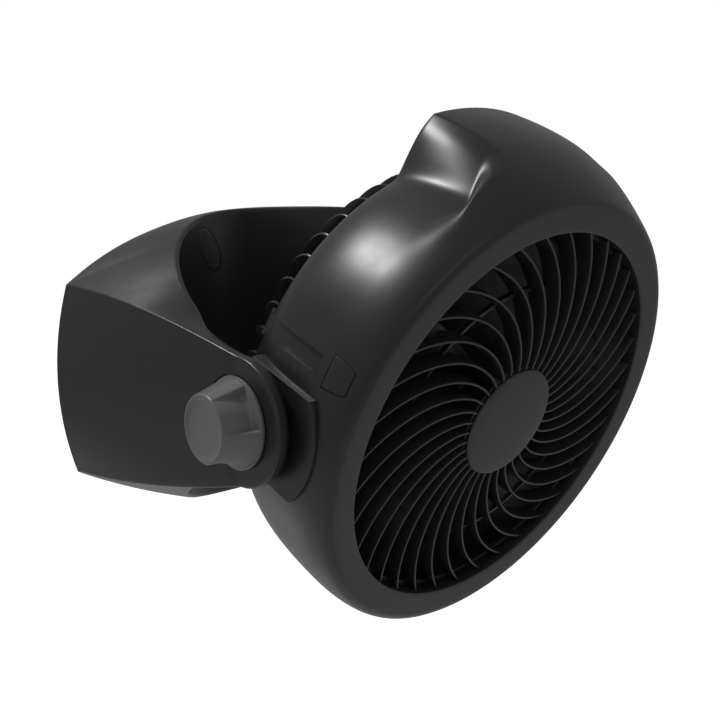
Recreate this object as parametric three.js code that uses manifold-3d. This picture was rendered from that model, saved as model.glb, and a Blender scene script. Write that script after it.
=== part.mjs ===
// Air circulator fan: a drum head that tilts between the arms of a wall-hung yoke.
// Millimetres, +Z up. The wall face of the base is the plane y = 0 with the origin at its centre,
// and the fan blows towards -Y. The tilt axis runs along X.
// Inside the head, "ahead" is the distance in front of the tilt axis along the fan's own axis,
// and angles round the fan's axis are counted from the top towards +X.

import * as THREE from 'three';
import { mergeVertices } from 'three/addons/utils/BufferGeometryUtils.js';
import Module from 'manifold-3d';

const wasm = await Module();
wasm.setup();

// ---------------------------------------------------------------- driving dimensions

// Fits
const seatGap = 0.3;             // between two pieces that touch on the real object
const runningGap = 0.1;          // shaft in its bearing

// Head: the opening drives the other radii
const restTilt = 18.68;          // the face looks down by this much at rest, in degrees
const openingRadius = 120;
const frontRingWidth = 16.8;     // from the opening out to the crease
const creaseRadius = openingRadius + frontRingWidth;
const shoulderRise = 7.2;        // from the crease up to the drum
const drumRadius = creaseRadius + shoulderRise;
const rimDrop = 8.5;             // from the drum down to its rear rim
const rimRadius = drumRadius - rimDrop;
const lipAhead = 57.4;
const creaseStep = 1.4;          // the crease stands ahead of the lip
const creaseAhead = lipAhead + creaseStep;
const drumWidestAhead = 30;
const rimAhead = -25.2;
const housingWall = 2.8;
const lipDepth = 8.4;
const lipWall = 3;

// Hood over the drum, which is also the hand grip
const hoodRise = 21.3;           // from the drum up to the hood's crown
const hoodRadius = drumRadius + hoodRise;
const hoodRidgeAngle = 15;       // degrees each side of the top
const hoodFlankAngle = 13.5;     // from the ridge down to the drum
const hoodFrontStart = 17;       // the front of the hood fades out over a wider angle
const hoodFrontAngle = 28;
const scoopFrontBack = 21.8;     // the side scoop ends this far behind the crease
const scoopFrontAhead = creaseAhead - scoopFrontBack;
const gripDepth = 46;
const gripHalfAngle = 12.5;

// Side clips and the channel behind each
const clipAngle = 71.6;
const channelWidth = 10.4;
const channelFrontAhead = 29.3;
const channelRamp = 6;           // the floor's front end slopes up over this length
const channelDepth = 4;
const channelWall = 2.4;
const clipLength = 16;
const clipFrontBack = 7.8;       // the clip ends this far behind the crease
const clipFrontAhead = creaseAhead - clipFrontBack;
const clipRearAhead = clipFrontAhead - clipLength;
const clipWidth = 18.4;
const clipCorners = [[0, 0], [1.1, 0.625], [3, 1]]; // in from its side, share of its length
const clipThickness = 2.6;

// Yoke and base
const pivotToWall = 158.6;       // tilt axis ahead of the wall
const armClearance = 5;          // between the drum and the arm beside it
const armTipInnerHalf = drumRadius + armClearance; // from the middle to an arm's inner face
const armTipThickness = 8.2;     // of an arm at the tilt axis
const armOuterHalf = armTipInnerHalf + armTipThickness;
const armStep = 6.2;             // behind the drum an arm thickens inwards by this much
const armInnerHalf = armTipInnerHalf - armStep;
const armThinLength = 32;        // the arm stays thin this far behind the tilt axis
const armTaperLength = 30;
const armEndRadius = 35;
const backDepth = 12;            // base between the head and the wall
const cornerRadius = 96;         // inner corner of the yoke, seen from above
const footFlare = 18.6;          // the foot's corners stand out past the arms
const footHalfWidth = armOuterHalf + footFlare;
const footBulge = 9.2;           // the foot's side edge bows out by this much
const footCornerHeight = 60.6;   // half height of the foot's side edge
const footTopHeight = 107;       // from the middle up to the top of the foot
const footLowDrop = 10.7;        // the foot reaches this much less far down
const footLowHeight = footTopHeight - footLowDrop;
const baseWall = 3;
const baseEdgeRadius = 3;
const plateThickness = 2.5;
const plateClearance = 2;        // round the plate, inside the foot's wall
const plateScrewX = 110;
const plateScrewZ = 50;
const platePostRadius = 4.5;
const plugHalfWidth = 9.3;
const plugHalfHeight = 17;
const plugLean = 32;             // its top leans towards the arm, in degrees
const plugAngle = 68;            // round the yoke's inner corner, in degrees
const plugDrop = 27.7;           // below the top of the foot
const plugHeight = footTopHeight - plugDrop;
const plugThickness = 1.6;
const wallScrewHole = 2.8;
const wallScrewTubeRadius = 6.5;
const roundSides = 32;           // sides of a hole that something is fitted to

// Flat bosses on the drum's sides that the arms stand against
const washerThickness = 3.8;
const bossHalf = armTipInnerHalf - washerThickness - 2 * seatGap;
const bossMargin = 12;           // the boss reaches this far past the arm's round end
const bossRadius = armEndRadius + bossMargin;
const bossTop = 30;
const bossRear = 14;             // behind the tilt axis
const bossDepth = 9;

// Front grille
const ribCount = 36;
const ribTwist = 30.7;           // how far a rib turns back on its way out, in degrees
const ribBend = 1.25;            // how the turn grows with the radius
const ribWidth = 1.9;
const ribDepth = 12;
const ribSetBack = 2.8;          // the ribs stand this far behind the lip
const ribFrontAhead = lipAhead - ribSetBack;
const hubRadius = 35.1;
const hubRise = 0.7;             // the hub cap stands this far ahead of the ribs
const hubAhead = ribFrontAhead + hubRise;
const ribStraightLength = 5.7;   // a rib runs straight out from the hub over this length
const ribStraightRadius = hubRadius + ribStraightLength;
const hubCapThickness = 1.8;
const grilleRingWidth = 13;
const grilleRingDepth = 3;

// Rear grille and the cup that holds the motor
const rearRibCount = 54;
const rearRibTwist = 34;
const rearRibWidth = 2;
const rearRibDepth = 6.5;
const rearBulgeDrop = 2.9;       // the rear grille bulges to just inside the rim
const rearBulgeRadius = rimRadius - rearBulgeDrop;
const rearGrilleDepth = 38.8;
const rearFaceAhead = rimAhead - rearGrilleDepth;
const motorRadius = 42;
const cupClearance = 5;          // round the motor
const cupWall = 3;
const cupRadius = motorRadius + cupClearance + cupWall;
const cupStandOut = 4;
const cupRearAhead = rearFaceAhead - cupStandOut;
const cupDepth = 26;
const cupFrontAhead = cupRearAhead + cupDepth;

// Impeller
const bladeCount = 5;
const bladeTipClearance = 9;     // inside the opening's radius
const bladeTipRadius = openingRadius - bladeTipClearance;
const bladeThickness = 2.2;
const bladeCamber = 0.07;        // height of its bow over its width
const impellerHubRadius = 30;
const impellerHubDepth = 28;
const shaftStandOut = 4;         // the shaft's end stands ahead of the hub
const noseCapThickness = 2.5;    // the spinner nut's end, ahead of the shaft
const noseClearance = 2.1;       // between the spinner nut and the front ribs
const shaftFront = ribFrontAhead - ribDepth - noseClearance - noseCapThickness;
const impellerAhead = shaftFront - shaftStandOut - impellerHubDepth / 2;

// Motor
const motorStandoff = 16;        // from the cup's outer face to the motor
const motorRearAhead = cupRearAhead + motorStandoff;
const impellerClearance = 9;     // between the motor and the impeller's hub
const motorFrontAhead = impellerAhead - impellerHubDepth / 2 - impellerClearance;
const rearCoverDepth = 15;
const frontCoverDepth = 16;
const statorRearAhead = motorRearAhead + rearCoverDepth;
const statorFrontAhead = motorFrontAhead - frontCoverDepth;
const rotorRadius = 20;
const shaftRadius = 4;
const bearingRadius = 9;
const bearingLength = 6;
const motorScrewCircle = 29;

// Tilt locks
const studRadius = 4;
const nutAcross = 15;
const nutThickness = 6;
const knobFlangeRadius = 24.8;
const knobFlare = 6.7;           // the flange stands out past the cap
const knobCapRadius = knobFlangeRadius - knobFlare;
const knobLength = 20.6;
const knobFlangeThickness = 2;
const knobDish = 1.4;
const fluteCount = 3;
const fluteCentre = 57.6;        // from the top towards the front, in degrees
const fluteSpan = 61;

// Speed switch at the back of the motor cup
const speedKnobRadius = 17;
const speedKnobLength = 13;
const speedShaftRadius = 3;
const switchWidth = 24;
const switchDepth = 9;
const capacitorSize = [26, 10, 12];

// Screws
const screwHeadRadius = 3.4;
const screwHeadHeight = 1.8;
const screwShankRadius = 1.5;

// ---------------------------------------------------------------- finishes

const finishes = {
  blackPlastic: { color: 0x2e2c2c, roughness: 0.38, metalness: 0 },
  innerPlastic: { color: 0x1c1b1b, roughness: 0.5, metalness: 0 },
  greyPlastic: { color: 0x6a6a6b, roughness: 0.45, metalness: 0 },
  bladePlastic: { color: 0x161616, roughness: 0.4, metalness: 0 },
  steel: { color: 0xb4b6b8, roughness: 0.35, metalness: 1 },
  stackSteel: { color: 0x77797c, roughness: 0.5, metalness: 1 },
  castAlloy: { color: 0xa9abad, roughness: 0.45, metalness: 1 },
  brass: { color: 0xb99a52, roughness: 0.35, metalness: 1 },
  copper: { color: 0xb0683c, roughness: 0.4, metalness: 1 },
  rubber: { color: 0x151515, roughness: 0.8, metalness: 0 },
};

// ---------------------------------------------------------------- small tools

const radians = THREE.MathUtils.degToRad;
const clamp = THREE.MathUtils.clamp;
const v2 = (x, y) => new THREE.Vector2(x, y);
const v3 = (x, y, z) => new THREE.Vector3(x, y, z);

function smooth(low, high, value) {
  return THREE.MathUtils.smoothstep(value, low, high);
}

// A closed three.js geometry as a solid, with its faces turned outwards.
function solidOf(geometry) {
  const bare = geometry.clone();
  bare.deleteAttribute('normal');
  bare.deleteAttribute('uv');
  const merged = mergeVertices(bare, 1e-4);
  const points = merged.attributes.position.array;
  const triangles = [];
  let volume = 0;
  for (let i = 0; i < merged.index.count; i += 3) {
    const [a, b, c] = [0, 1, 2].map((k) => merged.index.getX(i + k));
    if (a === b || b === c || c === a) continue;
    triangles.push(a, b, c);
    const [p, q, r] = [a, b, c].map((k) => v3().fromArray(points, 3 * k));
    volume += p.dot(q.cross(r));
  }
  if (volume < 0) triangles.reverse();
  const mesh = { numProp: 3, vertProperties: new Float32Array(points), triVerts: new Uint32Array(triangles) };
  return new wasm.Manifold(new wasm.Mesh(mesh));
}

function geometryOf(solid) {
  const mesh = solid.getMesh();
  const geometry = new THREE.BufferGeometry();
  geometry.setAttribute('position', new THREE.BufferAttribute(new Float32Array(mesh.vertProperties), 3));
  geometry.setIndex(new THREE.BufferAttribute(new Uint32Array(mesh.triVerts), 1));
  return geometry;
}

const joined = (...solids) => solids.reduce((whole, next) => whole.add(next));
const cut = (solid, ...tools) => tools.reduce((whole, tool) => whole.subtract(tool), solid);
const mirrored = (side, geometry) => (side > 0 ? geometry : geometry.clone().scale(-1, 1, 1));

// A solid of revolution about the fan's axis. The profile is a list of [radius, ahead].
function turned(profile, segments = 48) {
  const points = profile.map(([radius, ahead]) => v2(radius, -ahead));
  const onAxis = profile[0][0] === 0 && profile[profile.length - 1][0] === 0;
  if (!onAxis) points.push(points[0].clone());
  return new THREE.LatheGeometry(points, segments);
}

function rod(radius, rear, front, segments = 32) {
  return turned([[0, rear], [radius, rear], [radius, front], [0, front]], segments);
}

function ring(inner, outer, rear, front, segments = 48) {
  return turned([[inner, rear], [outer, rear], [outer, front], [inner, front]], segments);
}

// The same, turned about the X axis: the profile is a list of [radius, x].
function turnedOnX(profile, segments = 48) {
  return turned(profile.map(([radius, x]) => [radius, -x]), segments).rotateZ(-Math.PI / 2);
}

// A rod along Y at (x, z), from y = rear to y = front.
function postOnY(radius, x, z, from, to, segments = 16) {
  return rod(radius, -from, -to, segments).translate(x, 0, z);
}

// A closed skin over rings of equal length, each ring closed by a fan of triangles at the two ends.
function skin(rings) {
  const count = rings[0].length;
  const points = rings.flat();
  const middle = (list) => list.reduce((sum, p) => sum.add(p), v3()).divideScalar(list.length);
  points.push(middle(rings[0]), middle(rings[rings.length - 1]));
  const index = [];
  for (let k = 0; k + 1 < rings.length; k += 1) {
    for (let i = 0; i < count; i += 1) {
      const j = (i + 1) % count;
      const [a, b] = [k * count + i, k * count + j];
      index.push(a, b, a + count, b, b + count, a + count);
    }
  }
  const last = (rings.length - 1) * count;
  for (let i = 0; i < count; i += 1) {
    const j = (i + 1) % count;
    index.push(points.length - 2, j, i);
    index.push(points.length - 1, last + i, last + j);
  }
  const geometry = new THREE.BufferGeometry().setFromPoints(points);
  geometry.setIndex(index);
  return geometry;
}

// A flat outline given as [across, up] points, made into a prism along +Z of the stated depth.
function prism(outline, depth) {
  const shape = new THREE.Shape(outline.map(([x, y]) => v2(x, y)));
  return new THREE.ExtrudeGeometry(shape, { depth, bevelEnabled: false });
}

function roundOutline(halfWidth, halfHeight, count = 20) {
  const outline = [];
  for (let i = 0; i < count; i += 1) {
    const angle = (2 * Math.PI * i) / count;
    outline.push([halfWidth * Math.cos(angle), halfHeight * Math.sin(angle)]);
  }
  return outline;
}

// A pan-head screw along the fan's axis: its head sits at "headAt" and its shank runs ahead.
function screwAlongAxis(headAt, length) {
  const head = rod(screwHeadRadius, headAt - screwHeadHeight, headAt, 10);
  const shank = rod(screwShankRadius, headAt - screwHeadHeight / 2, headAt + length, 7);
  return solidOf(head).add(solidOf(shank));
}

// Copies of a solid round the fan's axis, each at its own angle in degrees.
function aroundAxis(make, angles, radius) {
  return joined(...angles.map((angle) => {
    const [x, z] = [radius * Math.sin(radians(angle)), radius * Math.cos(radians(angle))];
    return make().translate([x, 0, z]);
  }));
}

function pointInHead(radius, angle, ahead) {
  return v3(radius * Math.sin(angle), -ahead, radius * Math.cos(angle));
}

// ---------------------------------------------------------------- base and yoke

const sideStraight = pivotToWall - backDepth - cornerRadius;
const cornerDepth = backDepth + cornerRadius;
const cornerLength = cornerRadius * Math.PI / 2;
const backStraight = armInnerHalf - cornerRadius;
const innerLength = sideStraight + cornerLength + backStraight;
const footCornerAt = sideStraight + cornerRadius * radians(40);

// The yoke's inner wall from the tilt axis on one arm to the middle of the back, seen from above.
function innerWallAt(along) {
  const thin = 1 - smooth(armThinLength, armThinLength + armTaperLength, along);
  const tip = thin * (armTipInnerHalf - armInnerHalf);
  if (along <= sideStraight) return v2(armInnerHalf + tip, -pivotToWall + along);
  const turn = Math.min((along - sideStraight) / cornerRadius, Math.PI / 2);
  const rest = Math.max(along - sideStraight - cornerLength, 0);
  const x = backStraight + cornerRadius * Math.cos(turn) - rest + tip;
  return v2(x, -backDepth - cornerRadius * (1 - Math.sin(turn)));
}

// Height of the yoke's inner rim along that wall: it sweeps up from the arm to the top of the back.
const rimRise = new THREE.SplineCurve([
  v2(0, armEndRadius - 1),
  v2(0.2, 0.455 * footTopHeight),
  v2(0.34, 0.65 * footTopHeight),
  v2(0.47, 0.82 * footTopHeight),
  v2(0.65, 0.963 * footTopHeight),
  v2(0.82, footTopHeight),
  v2(1, footTopHeight),
]);
const rimPoints = rimRise.getPoints(120);

function rimHeightAt(along) {
  const share = along / innerLength;
  const next = Math.max(rimPoints.findIndex((p) => p.x >= share), 1);
  const [low, high] = [rimPoints[next - 1], rimPoints[next]];
  const part = clamp((share - low.x) / Math.max(high.x - low.x, 1e-6), 0, 1);
  return low.y + (high.y - low.y) * part;
}

// The foot and the rim reach less far down than up: a height above "from", as it is below the middle.
function lowered(height, from) {
  return from + (height - from) * (footLowHeight - from) / (footTopHeight - from);
}

// Upper edge of an arm's side face, from the tilt axis back to the foot: [y, z].
const creaseCurve = new THREE.QuadraticBezierCurve(
  v2(-pivotToWall, armEndRadius - 1),
  v2(-0.5 * pivotToWall, 0.93 * footCornerHeight),
  v2(0, footCornerHeight),
);

// Upper edge of the foot on the wall, from its corner to the middle: [x, z].
const footCurve = new THREE.CubicBezierCurve(
  v2(footHalfWidth, footCornerHeight),
  v2(0.78 * footHalfWidth, 0.85 * footTopHeight),
  v2(0.51 * footHalfWidth, footTopHeight),
  v2(0, footTopHeight),
);

// The outer edge that belongs to a place on the inner wall, and how far the side bows out there.
function outerEdgeAt(along) {
  if (along <= footCornerAt) {
    const edge = creaseCurve.getPoint(along / footCornerAt);
    const back = 1 + edge.x / pivotToWall;
    const x = armOuterHalf + (footHalfWidth - armOuterHalf) * back;
    return { point: v3(x, edge.x, edge.y), bulge: footBulge * back * back };
  }
  const edge = footCurve.getPoint((along - footCornerAt) / (innerLength - footCornerAt));
  return { point: v3(edge.x, 0, edge.y), bulge: 0 };
}

// Half a cross-section of the yoke, shrunk by "inset": points from the inner wall to the side's middle.
function halfSection(along, inset, rimHeight, edgeHeight) {
  const wall = innerWallAt(along);
  const { point: edge, bulge } = outerEdgeAt(along);
  const onFoot = along >= footCornerAt - 1e-6;
  const out = v2(edge.x - wall.x, edge.y - wall.y);
  const depth = out.length();
  out.normalize();
  const [rim, top] = [rimHeight - inset * 1.25, edgeHeight - inset * 1.1];
  const [round, crown] = inset > 0 ? [1, 0] : [baseEdgeRadius, 1.5];
  const at = (distance, z) => v3(wall.x + out.x * distance, wall.y + out.y * distance, z);
  const outer = onFoot ? depth - inset * 0.2 : depth - inset;
  const slope = (top - rim) / depth;
  const points = [
    at(inset, 0),
    at(inset, rim - round),
    at(inset + 0.3 * round, rim - 0.3 * round),
    at(inset + round, rim + slope * round),
    at((inset + outer) / 2, (rim + top) / 2 + crown),
    at(outer, top),
    at(outer, top * 0.5),
    at(outer, 0),
  ];
  for (const p of points.slice(5)) {
    if (onFoot && inset > 0) p.set(p.x - inset, inset, p.z);
  }
  points[6].x += bulge * 0.75;
  points[7].x = points[6].x + bulge * 0.25;
  return points;
}

// One whole cross-section: a ring of points round the upper half and back along the lower one.
function yokeSection(along, inset) {
  const rim = rimHeightAt(along);
  const edge = outerEdgeAt(along).point.z;
  const lowEdge = edge > footCornerHeight ? lowered(edge, footCornerHeight) : edge;
  const upper = halfSection(along, inset, rim, edge);
  const lower = halfSection(along, inset, lowered(rim, armEndRadius - 1), lowEdge);
  return [...upper, ...lower.slice(1, -1).map((p) => v3(p.x, p.y, -p.z)).reverse()];
}

// Where the yoke's cross-sections stand along its inner wall.
function yokeStops() {
  const taperEnd = armThinLength + armTaperLength;
  const stops = [0, armThinLength / 2, armThinLength];
  for (const part of [0.3, 0.5, 0.7]) stops.push(armThinLength + part * armTaperLength);
  for (let k = 0; k <= 10; k += 1) stops.push(taperEnd + (innerLength - taperEnd) * (k / 10));
  const offCorner = stops.map((stop) => Math.abs(stop - footCornerAt));
  stops[offCorner.indexOf(Math.min(...offCorner))] = footCornerAt;
  return stops;
}

// The whole yoke from arm to arm, or the hollow in it.
function yokeBlank(inset, start) {
  const right = yokeStops().filter((stop) => stop >= start).map((along) => yokeSection(along, inset));
  const left = right.slice(0, -1).map((section) => section.map((p) => v3(-p.x, p.y, p.z)));
  return solidOf(skin([...right, ...left.reverse()]));
}

function armEnd(side) {
  const [inner, outer] = [armTipInnerHalf, armOuterHalf];
  const [r, edge] = [armEndRadius, baseEdgeRadius];
  const profile = [
    [0, inner], [r - edge, inner], [r - edge * 0.3, inner + edge * 0.3], [r, inner + edge],
    [r, outer - edge * 0.5], [r - edge * 0.5, outer], [0, outer],
  ];
  return solidOf(mirrored(side, turnedOnX(profile, 30).translate(0, -pivotToWall, 0)));
}

const plugX = backStraight + cornerRadius * Math.cos(radians(plugAngle));
const plugY = -backDepth - cornerRadius * (1 - Math.sin(radians(plugAngle)));

// An oval prism square to the yoke's inner corner, from "depth" inside its skin outwards.
function plugPrism(side, grow, depth) {
  const oval = prism(roundOutline(plugHalfWidth + grow, plugHalfHeight + grow), 12 + depth);
  oval.rotateZ(radians(-plugLean)).translate(0, 0, -depth);
  oval.rotateX(Math.PI / 2).rotateZ(radians(plugAngle - 90));
  return solidOf(mirrored(side, oval.translate(plugX, plugY, plugHeight)));
}

const plateScrewPlaces = [1, -1].flatMap((up) => (
  [1, -1].map((side) => [side * plateScrewX, up * plateScrewZ])
));
const screwBoreRadius = screwShankRadius + seatGap;

function baseShell(blank) {
  const hollow = yokeBlank(baseWall, armThinLength);
  const backOfPosts = -plateThickness - seatGap;
  const posts = plateScrewPlaces.map(([x, z]) => (
    solidOf(postOnY(platePostRadius, x, z, -cornerDepth, backOfPosts, 12)).intersect(blank)
  ));
  const tubes = [1, -1].map((side) => (
    solidOf(postOnY(wallScrewTubeRadius, side * plugX, plugHeight, -cornerDepth, backOfPosts, 14))
      .intersect(blank)
  ));
  const bores = plateScrewPlaces.map(([x, z]) => solidOf(postOnY(screwBoreRadius, x, z, -18, 1, 8)));
  const wallScrewBores = [1, -1].map((side) => (
    solidOf(postOnY(wallScrewHole, side * plugX, plugHeight, -cornerDepth, 5, roundSides))
  ));
  const plugSeats = [1, -1].map((side) => plugPrism(side, 0, plugThickness));
  const knobSeats = [1, -1].map((side) => (
    solidOf(mirrored(side, turnedOnX([
      [0, armOuterHalf], [knobFlangeRadius + 1, armOuterHalf],
      [knobFlangeRadius + 1, armOuterHalf + 9], [0, armOuterHalf + 9],
    ], 36).translate(0, -pivotToWall, 0)))
  ));
  const studHoles = [1, -1].map((side) => (
    solidOf(mirrored(side, turnedOnX([
      [0, armTipInnerHalf - 5], [studRadius + seatGap, armTipInnerHalf - 5],
      [studRadius + seatGap, armOuterHalf + 5], [0, armOuterHalf + 5],
    ], 16).translate(0, -pivotToWall, 0)))
  ));
  const shell = joined(blank.subtract(hollow), ...posts, ...tubes);
  return cut(shell, ...bores, ...wallScrewBores, ...plugSeats, ...knobSeats, ...studHoles);
}

function wallPlate() {
  const inset = baseWall * 1.1 + plateClearance;
  const quarter = footCurve.getPoints(9).map((p) => [p.x - inset, p.y - inset]);
  quarter[quarter.length - 1][0] = 0;
  const top = [...quarter, ...quarter.slice(0, -1).reverse().map(([x, z]) => [-x, z])];
  const sideX = footHalfWidth + footBulge - inset;
  const softX = footHalfWidth + footBulge * 0.75 - inset;
  const softZ = footCornerHeight / 2;
  const bottom = top.map(([x, z]) => [x, inset - lowered(z + inset, footCornerHeight)]).reverse();
  const outline = [
    [softX, -softZ], [sideX, 0], [softX, softZ], ...top,
    [-softX, softZ], [-sideX, 0], [-softX, -softZ], ...bottom,
  ];
  const plate = solidOf(prism(outline, plateThickness).rotateX(Math.PI / 2));
  const screwRecess = screwHeadHeight - 0.2 + seatGap;
  const holes = plateScrewPlaces.flatMap(([x, z]) => [
    solidOf(postOnY(screwBoreRadius, x, z, -6, 3, 8)),
    solidOf(postOnY(screwHeadRadius + seatGap, x, z, -screwRecess, 3, 12)),
  ]);
  const wallHoles = [1, -1].map((side) => (
    solidOf(postOnY(wallScrewHole, side * plugX, plugHeight, -6, 3, roundSides))
  ));
  return cut(plate, ...holes, ...wallHoles);
}

function plateScrew([x, z]) {
  const headFrom = 0.1 - screwHeadHeight;
  const head = solidOf(postOnY(screwHeadRadius, x, z, headFrom, -0.1, 10));
  return head.add(solidOf(postOnY(screwShankRadius, x, z, -16, headFrom + 0.5, 7)));
}

const screwPlug = (side, blank) => plugPrism(side, -seatGap, plugThickness - seatGap).intersect(blank);

// ---------------------------------------------------------------- tilt locks

function frictionWasher(side) {
  const [from, to] = [bossHalf + seatGap, armTipInnerHalf - seatGap];
  const bore = studRadius + seatGap;
  const outer = armEndRadius * 0.65;
  return solidOf(mirrored(side, turnedOnX([[bore, from], [outer, from], [outer, to], [bore, to]], 28)));
}

const knobFrom = armOuterHalf + seatGap;
const knobTo = knobFrom + knobLength;

function lockStud(side) {
  const from = bossHalf - bossDepth - nutThickness - 2;
  const to = knobTo - 7;
  return solidOf(mirrored(side, turnedOnX([[0, from], [studRadius, from], [studRadius, to], [0, to]], 16)));
}

function lockNut(side) {
  const to = bossHalf - bossDepth - seatGap;
  const from = to - nutThickness;
  const outer = nutAcross / Math.sqrt(3);
  const bore = studRadius + seatGap;
  const hexagon = solidOf(turnedOnX([[0, from], [outer, from], [outer, to], [0, to]], 6));
  const hole = solidOf(turnedOnX([[0, from - 1], [bore, from - 1], [bore, to + 1], [0, to + 1]], 16));
  const nut = hexagon.subtract(hole);
  return side > 0 ? nut : nut.mirror([1, 0, 0]);
}

// A lobed hand knob: lobes flare from the cap to a thin round flange, flutes stay at the cap's radius.
function lockKnob(side) {
  const flutePitch = 360 / fluteCount;
  const bodyFrom = knobFrom + knobFlangeThickness;
  const bodyLength = knobLength - knobFlangeThickness;
  const edges = [-0.5, -0.25, 0, 0.25, 0.5].map((part) => part * fluteSpan);
  const lobeGap = flutePitch - fluteSpan;
  const lobes = [5, 0.27 * lobeGap, 0.5 * lobeGap, 0.73 * lobeGap, lobeGap - 5]
    .map((part) => part + fluteSpan / 2);
  const angles = Array.from({ length: fluteCount }, (_, i) => (
    [...edges.map((angle) => [angle, 0]), ...lobes.map((angle) => [angle, 1])]
      .map(([angle, lobe]) => [fluteCentre + i * flutePitch + angle, lobe])
  )).flat();
  const rings = [0, 0.25, 0.55, 0.9, 1].map((t) => {
    const flare = Math.pow(1 - t, 1.15);
    const edgeDrop = t === 1 ? 0.9 : 0;
    return angles.map(([angle, lobe]) => {
      const lobeRadius = knobCapRadius + (knobFlangeRadius - 0.6 - knobCapRadius) * flare;
      const radius = (lobe ? lobeRadius : knobCapRadius + 0.4 * flare) - edgeDrop;
      const turn = radians(angle);
      return v3(bodyFrom + bodyLength * t, -radius * Math.sin(turn), radius * Math.cos(turn));
    });
  });
  const body = solidOf(skin(rings));
  const [f0, f1] = [knobFrom, bodyFrom + 0.2];
  const r = knobFlangeRadius;
  const flange = solidOf(turnedOnX([[0, f0], [r, f0], [r, f1 - 0.6], [r - 0.6, f1], [0, f1]], 36));
  const dishRadius = knobCapRadius - 2.6;
  const dish = solidOf(turnedOnX([
    [0, knobTo - knobDish], [dishRadius, knobTo - knobDish * 0.4],
    [dishRadius + 0.8, knobTo + 1], [0, knobTo + 1],
  ], 30));
  const boreTo = knobTo - 7 + seatGap;
  const bore = solidOf(turnedOnX([
    [0, knobFrom - 1], [studRadius + seatGap, knobFrom - 1], [studRadius + seatGap, boreTo], [0, boreTo],
  ], 16));
  const knob = cut(joined(body, flange), dish, bore);
  return side > 0 ? knob : knob.mirror([1, 0, 0]);
}

// ---------------------------------------------------------------- head housing

// Side view of the drum from its front crease to its rear rim: [ahead, radius].
const shoulder = new THREE.CubicBezierCurve(
  v2(creaseAhead, creaseRadius),
  v2(creaseAhead - 1.5, creaseRadius + 0.65 * (drumRadius - creaseRadius)),
  v2(drumWidestAhead + 15, drumRadius),
  v2(drumWidestAhead, drumRadius),
);
const flankLine = new THREE.CubicBezierCurve(
  v2(drumWidestAhead, drumRadius),
  v2(drumWidestAhead - 22, drumRadius),
  v2(rimAhead + 11, rimRadius + 7),
  v2(rimAhead, rimRadius),
);
const hoodLine = new THREE.CubicBezierCurve(
  v2(rimAhead, hoodRadius),
  v2(rimAhead + 35, hoodRadius - 0.3),
  v2(creaseAhead - 19, hoodRadius - 7),
  v2(creaseAhead, creaseRadius + 0.7),
);

// Reads a side view at a distance ahead.
function lineReader(...curves) {
  const points = curves.flatMap((curve) => curve.getPoints(60));
  points.sort((a, b) => a.x - b.x);
  return (ahead) => {
    const place = clamp(ahead, points[0].x, points[points.length - 1].x);
    const next = Math.max(points.findIndex((p) => p.x >= place), 1);
    const [low, high] = [points[next - 1], points[next]];
    const part = high.x > low.x ? (place - low.x) / (high.x - low.x) : 0;
    return low.y + (high.y - low.y) * part;
  };
}
const drumRadiusAt = lineReader(shoulder, flankLine);
const hoodRadiusAt = lineReader(hoodLine);

// How much of the hood's height stands at an angle from the top: 1 on the crown, 0 on the drum.
function hoodShare(ahead, angle) {
  const off = Math.abs(angle);
  const down = clamp((off - hoodRidgeAngle) / hoodFlankAngle, 0, 1);
  const scooped = Math.pow(1 - down, 1.3);
  const full = 1 - smooth(hoodFrontStart, hoodFrontStart + hoodFrontAngle, off);
  const end = scoopFrontAhead - 11 * (1 - down);
  const fade = 3 + 15 * (1 - down);
  const front = smooth(end - fade / 2, end + fade / 2, ahead);
  return scooped + (full - scooped) * front;
}

function housingRadius(ahead, angle) {
  const drum = drumRadiusAt(ahead);
  return drum + (hoodRadiusAt(ahead) - drum) * hoodShare(ahead, angle);
}

const hoodAngles = [0, 7.5, 15, 17.5, 21, 24.5, 28, 33, 39, 46];
const drumAngles = Array.from({ length: 23 }, (_, i) => 56 + i * (248 / 22));
const housingAngles = [
  ...hoodAngles,
  ...drumAngles,
  ...hoodAngles.slice(1).reverse().map((angle) => 360 - angle),
];
const housingStops = [
  rimAhead, rimAhead + 9, rimAhead + 24, 12, 22, 29, 35, 39, 45, 51,
  creaseAhead - 3.2, creaseAhead - 0.9, creaseAhead,
];

function housingBlank() {
  const rings = housingStops.map((ahead) => housingAngles.map((angle) => {
    const signed = angle > 180 ? angle - 360 : angle;
    return pointInHead(housingRadius(ahead, signed), radians(angle), ahead);
  }));
  rings.push(housingAngles.map((angle) => pointInHead(openingRadius - 6, radians(angle), lipAhead)));
  return solidOf(skin(rings));
}

// The duct is a many-sided ring: its flats stand nearer the axis than its corners.
const ductSides = 42;
const openingFlat = openingRadius * Math.cos(Math.PI / ductSides);

// The air duct through the housing, with the undercut behind the lip of the opening.
function ductCutter() {
  const inner = (ahead) => drumRadiusAt(ahead) - housingWall;
  const lipRear = lipAhead - lipDepth;
  const frontWall = lipAhead - housingWall;
  const profile = [
    [0, rimAhead - 5],
    [inner(rimAhead) - 0.5, rimAhead - 5],
    [inner(rimAhead) - 0.5, rimAhead],
    [inner(-8), -8],
    [inner(drumWidestAhead), drumWidestAhead],
    [inner(44), 44],
    [creaseRadius - housingWall - 3, frontWall - 1.5],
    [creaseRadius - housingWall - 8, frontWall],
    [openingRadius + lipWall, frontWall],
    [openingRadius + lipWall, lipRear],
    [openingRadius, lipRear],
    [openingRadius, lipAhead + 5],
    [0, lipAhead + 5],
  ];
  return solidOf(turned(profile, ductSides));
}

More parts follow.
